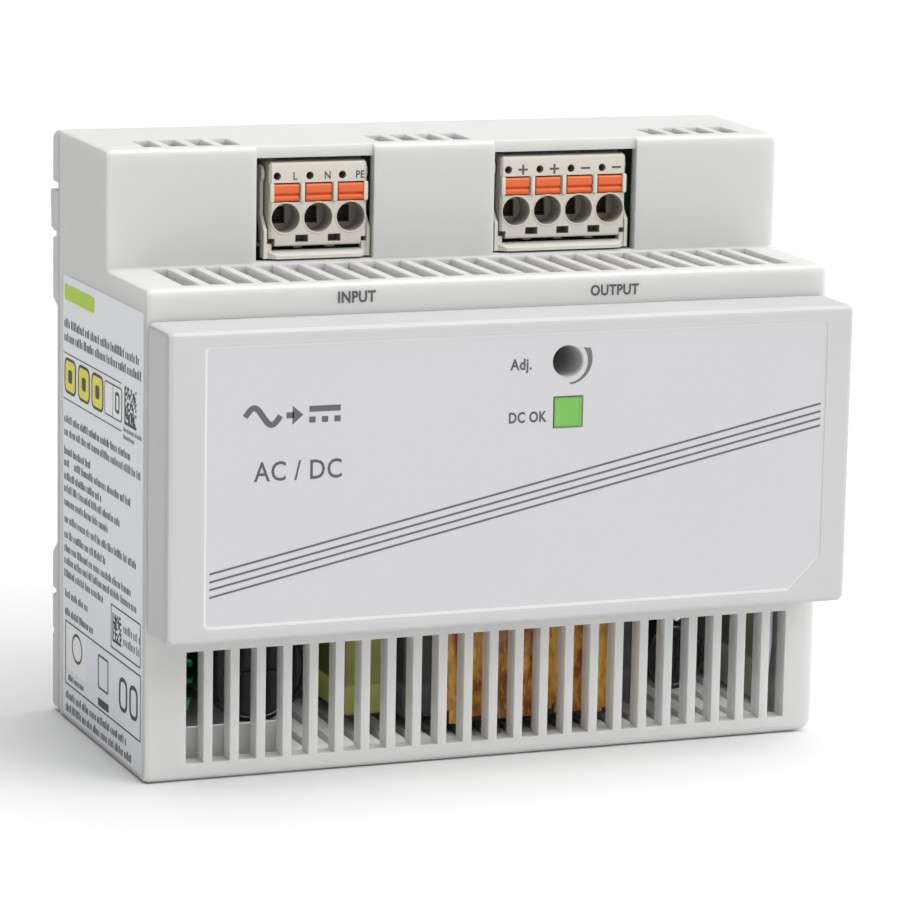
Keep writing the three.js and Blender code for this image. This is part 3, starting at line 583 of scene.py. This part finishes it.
def soften(sharp, radius, steps=4):
    """Rounds the corners of a convex outline that runs anticlockwise."""
    points = []
    for i, corner in enumerate(sharp):
        here = Vector(corner)
        back = (Vector(sharp[i - 1]) - here).normalized()
        ahead = (Vector(sharp[(i + 1) % len(sharp)]) - here).normalized()
        half = back.angle(ahead) / 2
        centre = here + (back + ahead).normalized() * (radius / math.sin(half))
        start = here + back * (radius / math.tan(half)) - centre
        sweep = math.pi - 2 * half
        for k in range(steps + 1):
            c, s = math.cos(sweep * k / steps), math.sin(sweep * k / steps)
            points.append(tuple(centre + Vector((start.x * c - start.y * s, start.x * s + start.y * c))))
    return points


MITRE_LIMIT = 0.3


def stroke(shape, points, width, lift, closed=False):
    """Flat line of constant width through 2D points, one plate per stretch with mitred ends."""
    n = len(points)
    offsets = []
    for i, (u, v) in enumerate(points):
        before = points[i - 1] if closed or i else points[0]
        after = points[(i + 1) % n] if closed or i < n - 1 else points[-1]
        ahead = Vector((u - before[0], v - before[1]))
        behind = Vector((after[0] - u, after[1] - v))
        ahead = ahead.normalized() if ahead.length else behind.normalized()
        behind = behind.normalized() if behind.length else ahead
        mid = (ahead + behind).normalized()
        reach = width / 2 / max(MITRE_LIMIT, mid.dot(ahead))
        offsets.append((-mid.y * reach, mid.x * reach))
    for i in range(n if closed else n - 1):
        j = (i + 1) % n
        (u0, v0), (u1, v1) = points[i], points[j]
        (a0, b0), (a1, b1) = offsets[i], offsets[j]
        plate = [(u0 - a0, v0 - b0), (u1 - a1, v1 - b1), (u1 + a1, v1 + b1), (u0 + a0, v0 + b0)]
        shape.printed_plate(plate, lift)


# ---- pieces -------------------------------------------------------------------------
class Shape:
    """A mesh under construction, in millimetres."""

    def __init__(self):
        self.bm = bmesh.new()

    def face(self, points):
        self.bm.faces.new([self.bm.verts.new(p) for p in points])

    def prism(self, outline, depth0, depth1, lift):
        """Closed prism over a 2D outline. lift(u, v, d) gives the point at depth d."""
        rings = [[self.bm.verts.new(lift(u, v, d)) for u, v in outline] for d in (depth0, depth1)]
        n = len(outline)
        self.bm.faces.new(rings[0])
        self.bm.faces.new(reversed(rings[1]))
        for i in range(n):
            j = (i + 1) % n
            self.bm.faces.new((rings[0][j], rings[0][i], rings[1][i], rings[1][j]))

    def box(self, x0, x1, y0, y1, z0, z1):
        self.prism(rectangle(x0, x1, z0, z1), y0, y1, lambda u, v, d: (u, d, v))

    def printed_plate(self, outline, lift):
        """Thin plate sunk as far into the face as it stands proud of it."""
        self.prism(outline, -INK_T, INK_T, lift)

    def skin(self, loops, closed):
        """Quads between one loop of vertices and the next, and back to the first if closed."""
        for near, far in zip(loops, loops[1:] + loops[:1] if closed else loops[1:]):
            n = len(near)
            for k in range(n):
                m = (k + 1) % n
                self.bm.faces.new((near[k], near[m], far[m], far[k]))

    def piece(self, name, body, look, slot=None, bevel=0.0):
        """Finishes the mesh as a piece that rides on a body."""
        bmesh.ops.recalc_face_normals(self.bm, faces=self.bm.faces)
        mesh = bpy.data.meshes.new(name)
        self.bm.transform(Matrix.Scale(MM, 4))
        self.bm.to_mesh(mesh)
        self.bm.free()
        piece = bpy.data.objects.new(name, mesh)
        bpy.context.scene.collection.objects.link(piece)
        mesh.materials.append(look)
        if bevel:
            edge = piece.modifiers.new("bevel", "BEVEL")
            edge.width = bevel * MM
            edge.segments = 2
            edge.limit_method = "ANGLE"
            edge.angle_limit = math.radians(PIECE_BEVEL_LIMIT)
        nodes_modifier(piece, SMOOTH)
        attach(piece, body)
        return piece


# ---- printing on the front ----------------------------------------------------------
FILM_Y = corners("front_label")[0].y
BODY_Y = corners("front_housing")[0].y
INK_T = 0.03  # printed marks stand this proud of the face, and are sunk as far into it
CAPITAL = 0.69  # height of a capital in the built-in font, as a share of its size
LETTER_SPACE = 1.06


def on_front(y):
    """Maps (x, z, height over the face) to a point, for a face square to -Y."""
    return lambda u, v, d: (u, y - d, v)


def text_piece(name, words, x, z, height, y, look, body="housing", stretch=0.86, weight=0.0):
    """Generic function word, its foot centred on x, z: a thin closed plate for each letter."""
    curve = bpy.data.curves.new(name, "FONT")
    curve.body = words
    curve.size = height * MM / CAPITAL
    curve.extrude = INK_T * MM
    curve.offset = weight * MM
    curve.resolution_u = 3
    curve.align_x = "CENTER"
    curve.space_character = LETTER_SPACE
    holder = bpy.data.objects.new(name + "_curve", curve)
    bpy.context.scene.collection.objects.link(holder)
    bpy.context.view_layer.update()
    mesh = bpy.data.meshes.new_from_object(holder.evaluated_get(bpy.context.evaluated_depsgraph_get()))
    bpy.data.objects.remove(holder)
    mesh.transform(Matrix.Diagonal((stretch, 1, 1, 1)))
    mesh.transform(Matrix.Rotation(math.radians(90), 4, "X"))
    mesh.transform(Matrix.Translation(Vector((x, y, z)) * MM))
    mesh.name = name
    mesh.materials.clear()
    mesh.materials.append(look)
    piece = bpy.data.objects.new(name, mesh)
    bpy.context.scene.collection.objects.link(piece)
    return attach(piece, body)


# The four pinstripes run from left to right; each end is (x, z of every stripe).
STRIPE_LEFT = (-46.7, (32.72, 31.55, 30.45, 29.32))
STRIPE_RIGHT = (48.05, (52.85, 51.69, 50.63, 49.55))
STRIPE_W = 0.3


def pinstripes():
    """Four slanting lines across the film."""
    x0, x1 = STRIPE_LEFT[0], STRIPE_RIGHT[0]
    half = STRIPE_W / 2
    for i, (z0, z1) in enumerate(zip(STRIPE_LEFT[1], STRIPE_RIGHT[1])):
        outline = [(x0, z0 - half), (x1, z1 - half), (x1, z1 + half), (x0, z0 + half)]
        shape = Shape()
        shape.printed_plate(outline, on_front(FILM_Y))
        shape.piece(f"pinstripe_{i + 1}", "housing", STRIPE_INK)


ADJ = (7.3, 60.9)  # middle of the adjuster hole
# Two circles bound the arc: centre over from the hole, radius, first and last angle.
ARC_OUTSIDE = (0.15, 0.3, 3.68, 25, -87)
ARC_INSIDE = (0.05, -0.05, 3.07, 41, -85)


def adjuster_arc():
    """Arc that narrows clockwise: the way that turns the voltage up."""
    outline = arc(*ARC_OUTSIDE) + arc(*ARC_INSIDE)[::-1]
    shape = Shape()
    shape.printed_plate([(ADJ[0] + u, ADJ[1] + v) for u, v in outline], on_front(FILM_Y))
    shape.piece("adjuster_arc", "housing", ARC_INK)


FILM_GAP = 0.05
RECESS_CUT = 4.9


def recess_outline(inset, corner):
    """Recess of the cap, moved in by inset: a rectangle with its lower right corner cut off."""
    low, high = corners("front_label")
    grow = FILM_GAP - inset
    x0, x1, z0, z1 = low.x - grow, high.x + grow, low.z - grow, high.z + grow
    cut = RECESS_CUT - inset * (2 - math.sqrt(2))
    return soften([(x0, z0), (x1 - cut, z0), (x1, z0 + cut), (x1, z1), (x0, z1)], corner)


# Section of the rim: inset from the recess's edge, height over the cap's face, corner radius.
RIM = [(-0.34, 0.006, 1.2), (0.02, -0.08, 1.0), (0.5, -0.262, 0.5), (0.5, -0.4, 0.5), (-0.34, -0.4, 1.2)]


def recess_rim():
    """Soft slope from the cap's face down to the film, all round, in a lighter grey than the cap as a painted
    highlight.
    """
    shape = Shape()
    face = corners("front_cap")[0].y
    rings = []
    for inset, height, corner in RIM:
        outline = recess_outline(inset, corner)
        rings.append([shape.bm.verts.new((u, face - height, v)) for u, v in outline])
    shape.skin(rings, closed=True)
    shape.piece("recess_rim", "housing", HIGHLIT_RIM_PLASTIC, "cap_plastic")


SIGN = (-41.6, -27.4, 53.0, 57.0)  # left, right, bottom and top of the converter sign
SIGN_BOLD, SIGN_SPACE = 0.85, 0.9
WAVE_L, WAVE_RISE, WAVE_STEPS = 5.2, 1.25, 24
ARROW_L, HEAD_L, HEAD_HALF, HEAD_LAP = 2.5, 1.6, 1.35, 0.2
LINES_APART = 0.7


def converter_sign():
    """Generic sign for mains in, direct voltage out: a wave, an arrow, and a line over a dashed line."""
    x0, x1, z0, z1 = SIGN
    zc = (z0 + z1) / 2
    lift = on_front(FILM_Y)
    shape = Shape()

    def bar(u0, u1, foot):
        shape.printed_plate(rectangle(u0, u1, foot, foot + SIGN_BOLD), lift)

    steps = [i / WAVE_STEPS for i in range(WAVE_STEPS + 1)]
    wave = [(x0 + WAVE_L * t, zc + WAVE_RISE * math.sin(2 * math.pi * t)) for t in steps]
    stroke(shape, wave, SIGN_BOLD, lift)
    tail = x0 + WAVE_L + SIGN_SPACE
    tip = tail + ARROW_L
    head = tip - HEAD_L
    bar(tail, head + HEAD_LAP, zc - SIGN_BOLD / 2)
    shape.printed_plate([(head, zc - HEAD_HALF), (tip, zc), (head, zc + HEAD_HALF)], lift)
    left = tip + SIGN_SPACE
    bar(left, x1, zc + LINES_APART / 2)
    dash = (x1 - left) / 5
    for k in (0, 2, 4):
        bar(left + k * dash, left + (k + 1) * dash, zc - LINES_APART / 2 - SIGN_BOLD)
    shape.piece("converter_sign", "housing", SIGN_INK)


def front_words():
    """Each word with x of its middle, z of its foot and the height of its capitals."""
    text_piece("word_adjust", "Adj.", 0.05, 60.0, 1.55, FILM_Y, INK, weight=0.06)
    text_piece("word_dc_ok", "DC OK", 1.13, 52.25, 1.5, FILM_Y, INK, stretch=0.81, weight=0.06)
    text_piece("word_input", "INPUT", -21.8, 69.2, 1.57, BODY_Y, INK, weight=0.07)
    text_piece("word_output", "OUTPUT", 18.5, 68.8, 1.5, BODY_Y, INK, weight=0.07)
    text_piece("word_ac_dc", "AC / DC", -33.6, 45.7, 2.75, FILM_Y, INK, weight=0.03)


WINDOW_LINE = 0.12
GUIDE_LINE = (0.5, 0.4, 0.1)  # its two sides in from the right edge, and its ends in from top and bottom


def window_frame():
    """Thin dark line round the green window, where the film is cut, and one along the light guide."""
    low, high = corners("dc_ok_light_pipe")
    half = (high.z - low.z) / 2
    u, v = (low.x + high.x) / 2, (low.z + high.z) / 2
    shape = Shape()
    lift = on_front(low.y)
    stroke(shape, rectangle(u - half, u + half, v - half, v + half), WINDOW_LINE, lift, closed=True)
    left, right, short = GUIDE_LINE
    guide = rectangle(u + half - left, u + half - right, v - half + short, v + half - short)
    shape.printed_plate(guide, lift)
    shape.piece("window_frame", "housing", WINDOW_INK)


# ---- rating label on the left side --------------------------------------------------
LABEL_LOW, LABEL_HIGH = corners("rating_label")
SIDE_LEAN = 0.0175
LINE_RISE = 1.5


def on_label(u, v, d):
    """Maps (y, z, height over the label) to a point. The side leans in towards the front."""
    return (LABEL_LOW.x + SIDE_LEAN * (LABEL_HIGH.y - u) - d, u, v)


def over_label(u, v, d):
    """Like on_label, for lines that stand half as high again as the fields under them."""
    return on_label(u, v, d * LINE_RISE)


def label_plate(shape, u0, u1, v0, v1):
    shape.printed_plate(rectangle(u0, u1, v0, v1), on_label)


# Lines of small print, left unreadable on purpose: back end y, front end y, foot z, height.
PRINT_LINES = [
    (20.5, -15.8, 60.7, 1.35),
    (20.5, -16.8, 58.6, 1.35),
    (20.5, -12.6, 46.2, 1.2),
    (20.5, -17.2, 44.2, 1.2),
    (20.5, 7.2, 41.3, 1.2),
    (20.5, 18.3, 39.5, 1.2),
    (15.4, -12, 39.5, 1.2),
    (20.5, 2, 37.4, 1.2),
    (20.5, -7.4, 35.5, 1.2),
    (20.5, -1.6, 33.4, 1.2),
    (20.4, -15, 30.8, 1.2),
    (20.4, -0.4, 28.4, 1.2),
    (20.4, -12.6, 26.3, 1.2),
    (20.4, -15.6, 24.4, 1.2),
    (20.4, 0.6, 22.4, 1.2),
    (20, 8.5, 19.3, 1.2),
    (20, 6, 16.5, 1.2),
    (18.3, 10, 6.6, 1.0),
    (19.6, -10.4, 3.6, 1.25),
    (19.6, -13.8, 1.6, 1.25),
]
FINE_LINES = [
    (-9, -17.4, 50.0, 0.7),
    (-9, -14, 48.9, 0.7),
    (-9.4, -16.8, 20.2, 1.3),
    (-9.4, -16.8, 18.3, 1.3),
]
WORD_LENGTHS = (3, 9)
# As shares of the line's height: narrowest and widest dash, heights, pitch, and space between words.
DASH_W, DASH_TALL, DASH_PITCH, WORD_SPACE = (0.22, 0.34), (0.74, 0.74, 1), 0.56, 0.3


def small_print(name, lines, look, seed):
    """Rows of upright dashes in word-like groups."""
    shape = Shape()
    dice = random.Random(seed)
    for start, end, foot, size in lines:
        y = start
        while y > end:
            for _ in range(dice.randint(*WORD_LENGTHS)):
                width = size * dice.uniform(*DASH_W)
                tall = size * dice.choice(DASH_TALL)
                label_plate(shape, y - width, y, foot, foot + tall)
                y -= size * DASH_PITCH
                if y < end:
                    break
            y -= size * WORD_SPACE
    shape.piece(name, "housing", look)


CELL_TALL = 0.98  # a hair short of the next cell, so that no two faces meet


def code_grid(shape, y, z, side, count, dice):
    """Square of scattered cells, like a code that holds nothing."""
    cell = side / count
    for i in range(count):
        for j in range(count):
            if dice.random() < 0.5 or i == 0 or j == 0:
                label_plate(shape, y - (i + 1) * cell, y - i * cell, z + j * cell, z + (j + CELL_TALL) * cell)


# Ruled lines: frames as y span and z span, rules by their z, and one solid bar.
FRAMES = ((-17.6, 19.8, 5.9, 15.6), (-17.4, -3.4, 16.8, 23.2))
FRAME_LINE = 0.22
RULES_Z, RULE_Y, RULE_HALF = (56.8, 49.8), (-8, 20.9), 0.08
SOLID_BAR = (-2.2, 3, 6.4, 7.6)


def label_rules():
    """Frames, rules and the solid bar of the label."""
    shape = Shape()
    for span in FRAMES:
        stroke(shape, rectangle(*span), FRAME_LINE, on_label, closed=True)
    for z in RULES_Z:
        label_plate(shape, *RULE_Y, z - RULE_HALF, z + RULE_HALF)
    label_plate(shape, *SOLID_BAR)
    shape.piece("label_rules", "housing", LABEL_INK)


# Rounded fields and outlines: y span, z span and corner radius. Outlines end with their line width.
LIME_FIELD = (5.4, 20.4, 64.9, 67.3, 0.6)
WHITE_FIELDS = ((-8.2, 0.1, 51.1, 55.9, 0.6), (9, 18.4, 8.3, 15.2, 0.3))
OUTLINES = (
    (-8.2, 0.1, 51.1, 55.9, 0.6, 0.2),
    (-6.9, -5.3, 52.3, 54.9, 0.4, 0.5),
    (-1.9, 2.9, 9.2, 14.1, 0.3, 0.28),
    (-11, -7.7, 8.6, 13.1, 1.2, 0.6),
    (-16, -12.7, 8.6, 13.1, 1.2, 0.6),
)
YELLOW_BACKS = (20.2, 13.2, 6.4)  # back edge of each yellow square
YELLOW_W, YELLOW_Z, YELLOW_R, YELLOW_LINE = 5.4, (51, 56), 1.1, 0.42
DOT_Y, DOT_Z, DOT_R = (3.7, 1.7), (52.5, 54.5), 0.5  # dark middle, in from the square's back edge
DIVIDER_Y, DIVIDER_LINE = -4, 0.18
OVAL = (13.7, 12.4, 2.5, 2.1, 0.45)  # middle y and z, half width, half height, line width
CODES = ((-9.5, 51.1, 5.6, 13), (-4.1, 17.8, 4.3, 11))  # back edge y, foot z, side, cells along it


def yellow_squares(dark):
    """Yellow squares, whose outlines and middles go into the dark shape."""
    yellow = Shape()
    for back in YELLOW_BACKS:
        outline = rounded(back - YELLOW_W, back, *YELLOW_Z, YELLOW_R)
        yellow.printed_plate(outline, on_label)
        stroke(dark, outline, YELLOW_LINE, over_label, closed=True)
        dark.prism(rounded(back - DOT_Y[0], back - DOT_Y[1], *DOT_Z, DOT_R), 0, INK_T, over_label)
    yellow.piece("label_yellow", "housing", YELLOW_INK)


def label_marks():
    """Plain shapes where the label has its marks: a bar, squares, an oval and blank cells."""
    lime, white, dark = Shape(), Shape(), Shape()
    lime.printed_plate(rounded(*LIME_FIELD), on_label)
    lime.piece("label_bar", "housing", LIME_INK)
    yellow_squares(dark)
    for field in WHITE_FIELDS:
        white.printed_plate(rounded(*field), on_label)
    white.piece("label_white", "housing", WHITE_INK)
    for *field, width in OUTLINES:
        stroke(dark, rounded(*field), width, over_label, closed=True)
    foot, head = WHITE_FIELDS[0][2:4]
    stroke(dark, [(DIVIDER_Y, foot), (DIVIDER_Y, head)], DIVIDER_LINE, over_label)
    y, z, half_w, half_h, width = OVAL
    turns = [math.pi / 12 * k for k in range(24)]
    stroke(dark, [(y + half_w * math.cos(a), z + half_h * math.sin(a)) for a in turns], width,
           over_label, closed=True)
    dice = random.Random(CODE_SEED)
    for code in CODES:
        code_grid(dark, *code, dice)
    dark.piece("label_marks", "housing", LABEL_INK)


# ---- terminals ----------------------------------------------------------------------
POLE = 5.08
PLUGS = (
    ("input", ("l", "n", "pe"), ("L", "N", "PE")),
    ("output", ("1", "2", "3", "4"), ("+", "+", "-", "-")),
)
WIRE_Z, WIRE_R = 78.8, 2.2
# Section of the lip round a wire entry: out from the hole's edge, and height over the face.
LIP = [(0.0, -0.25), (0.02, 0.04), (0.08, 0.08), (0.16, 0.08), (0.22, 0.04), (0.26, -0.25)]
CLAMP_DEPTH, CLAMP_T, CLAMP_SHELF = 4.6, 0.3, 0.6
CLAMP_HALF_W, CLAMP_HALF_H = 1.15, 1.25
RIB_W, RIB_RISE, RIB_SINK = 0.66, 0.42, 0.2
RIB_PAST_FOOT, RIB_PAST_HEAD = 0.1, 0.25  # how far the ribs reach past the push levers
RIB_ROUND, RIB_EDGE = 0.95, 0.1
RIB_INSET = 0.3  # the outermost ribs stand this much nearer to the middle
SIGN_OVER, SIGN_Z, SIGN_HALF, SIGN_THICK = 1.0, 85.05, 0.75, 0.15
LETTER_OVER, LETTER_Z, LETTER_H = 1.4, 84.5, 1.1


def pole_xs(side, count):
    """Middle of each pole of a plug."""
    low, high = corners(side + "_plug")
    middle = (low.x + high.x) / 2
    return [middle + (i - (count - 1) / 2) * POLE for i in range(count)]


def ring(shape, x, z, y, radius, section, sides=32):
    """Moulded lip round a hole that faces -Y: a closed ring of this section."""
    loops = []
    for k in range(sides):
        a = 2 * math.pi * k / sides
        across, up = math.cos(a), math.sin(a)
        points = [(x + (radius + du) * across, y - dy, z + (radius + du) * up) for du, dy in section]
        loops.append([shape.bm.verts.new(point) for point in points])
    shape.skin(loops, closed=True)


def wire_clamp(shape, x, face):
    """Spring clamp at the end of a wire entry: an upright plate over a short shelf."""
    x0, x1 = x - CLAMP_HALF_W, x + CLAMP_HALF_W
    foot, head = WIRE_Z - CLAMP_HALF_H, WIRE_Z + CLAMP_HALF_H
    back = face + CLAMP_DEPTH
    shape.box(x0, x1, back, back + CLAMP_T, foot, head)
    shape.box(x0, x1, back - CLAMP_SHELF, back, foot, foot + CLAMP_T)


def pusher_ribs(side, names, face):
    """Round-ended ribs moulded beside the push levers, to keep a finger off the next pole."""
    low, high = corners(f"{side}_pusher_{names[0]}")
    shape = Shape()
    count = len(names)
    first = pole_xs(side, count)[0] - POLE / 2
    half = RIB_W / 2
    foot, head = low.z - RIB_PAST_FOOT, high.z + RIB_PAST_HEAD
    for i in range(count + 1):
        inward = RIB_INSET if i == 0 else -RIB_INSET if i == count else 0
        x = first + i * POLE + inward
        outline = rounded(x - half, x + half, foot, head, half * RIB_ROUND)
        shape.prism(outline, -RIB_SINK, RIB_RISE, on_front(face))
    shape.piece(side + "_pusher_ribs", side + "_plug", LOOKS["terminal_plastic"], "terminal_plastic",
                bevel=RIB_EDGE)


def plus_or_minus(name, sign, x, z, y, body):
    """Plus or minus sign centred on x, z, printed on the face at y."""
    shape = Shape()
    lift = on_front(y)
    shape.printed_plate(rectangle(x - SIGN_HALF, x + SIGN_HALF, z - SIGN_THICK, z + SIGN_THICK), lift)
    if sign == "+":
        for v0, v1 in ((SIGN_THICK, SIGN_HALF), (-SIGN_HALF, -SIGN_THICK)):
            shape.printed_plate(rectangle(x - SIGN_THICK, x + SIGN_THICK, z + v0, z + v1), lift)
    shape.piece(name, body, INK)


def terminal_marks():
    """Lips, clamps, ribs and signs of both plugs, which all travel with their plug."""
    for side, names, signs in PLUGS:
        plug = side + "_plug"
        face = corners(plug)[0].y
        lips, clamps = Shape(), Shape()
        for x, name, sign in zip(pole_xs(side, len(names)), names, signs):
            ring(lips, x, WIRE_Z, face, WIRE_R, LIP)
            wire_clamp(clamps, x, face)
            label = f"sign_{side}_{name}"
            if sign in "+-":
                plus_or_minus(label, sign, x + SIGN_OVER, SIGN_Z, face, plug)
            else:
                text_piece(label, sign, x + LETTER_OVER, LETTER_Z, LETTER_H, face, INK, plug, weight=0.03)
        pusher_ribs(side, names, face)
        lips.piece(side + "_entry_lips", plug, LOOKS["terminal_plastic"], "terminal_plastic")
        clamps.piece(side + "_clamps", plug, SHADED_CLAMP_STEEL, bevel=0.08)


# ---- behind the grille --------------------------------------------------------------
TRAY_X = (-50.4, -29.6)
# Section of the tray in y and z: an upright lip in front, then the floor.
TRAY = [(-15.7, 1.95), (-15.7, 7.0), (-15.1, 7.0), (-15.1, 2.6), (8, 2.6), (8, 1.95)]


def input_tray():
    """Floor tray and front lip under the input side."""
    tray = Shape()
    tray.prism(TRAY, *TRAY_X, lambda u, v, d: (d, u, v))
    tray.piece("input_tray", "housing", LOOKS["base_plastic"], "base_plastic", bevel=0.12)


TAPE_STRIPS, TAPE_ROWS = 11, 14
TAPE_LIFT, TAPE_LAYER, TAPE_SWAY, TAPE_FOLD = 0.12, 0.14, 0.22, 0.28
TAPE_SIDE, TAPE_TOP = 0.5, 0.4  # the strips stay this far in from the winding's sides and its top


def winding_wraps():
    """Ends of tape laid over the winding's front, each a little askew and creased along its length."""
    low, high = corners("transformer_winding")
    dice = random.Random(TAPE_SEED)
    step = (high.x - low.x - 2 * TAPE_SIDE) / TAPE_STRIPS
    shape = Shape()
    for i in range(TAPE_STRIPS):
        middle = low.x + TAPE_SIDE + (i + 0.5) * step
        half = step * dice.uniform(0.5, 0.66)
        lean = dice.uniform(-0.7, 0.7)
        top, foot = high.z - TAPE_TOP, low.z - dice.uniform(0.3, 1.6)
        depth = low.y - TAPE_LIFT - TAPE_LAYER * (i % 3)
        phase = dice.uniform(0, 6)
        loops = []
        for k in range(TAPE_ROWS + 1):
            t = k / TAPE_ROWS
            z = top + (foot - top) * t
            x = middle + lean * (t - 0.5) * 2 + TAPE_SWAY * math.sin(phase + 5 * t)
            fold = TAPE_FOLD * math.sin(phase * 2 + 9 * t) * math.sin(math.pi * t)
            section = [(-half, depth + 0.1), (-half * 0.3, depth - 0.22 - fold),
                       (half * 0.35, depth - 0.05 + fold), (half, depth + 0.05),
                       (half, depth + 0.3), (-half, depth + 0.3)]
            loops.append([shape.bm.verts.new((x + dx, y, z)) for dx, y in section])
        shape.skin(loops, closed=False)
        shape.bm.faces.new(loops[0])
        shape.bm.faces.new(list(reversed(loops[-1])))
    shape.piece("winding_wraps", "housing", LOOKS["winding_tape"], "winding_tape")


# ---- assembly -----------------------------------------------------------------------
def make_stage():
    """Pale floor, white surroundings and soft light."""
    shape = Shape()
    shape.face([(u, v, 0) for u, v in rectangle(-FLOOR_HALF, FLOOR_HALF, -FLOOR_HALF, FLOOR_HALF)])
    floor = shape.piece("floor", "housing", floor_paper("floor_paper", (0.8, 0.8, 0.8)))
    floor.parent = None
    floor.location.z = -FLOOR_DROP * MM
    make_world()
    for sun in SUNS:
        sun_light(*sun)
    for light in INSIDE:
        inside_light(*light)


make_camera()
make_stage()
dress_nodes()
pinstripes()
adjuster_arc()
recess_rim()
converter_sign()
front_words()
window_frame()
small_print("label_print", PRINT_LINES, LABEL_INK, PRINT_SEED)
small_print("label_fine_print", FINE_LINES, FINE_INK, FINE_PRINT_SEED)
label_rules()
label_marks()
terminal_marks()
input_tray()
winding_wraps()

bpy.context.scene.view_settings.view_transform = "Standard"
bpy.context.scene.view_settings.look = "None"
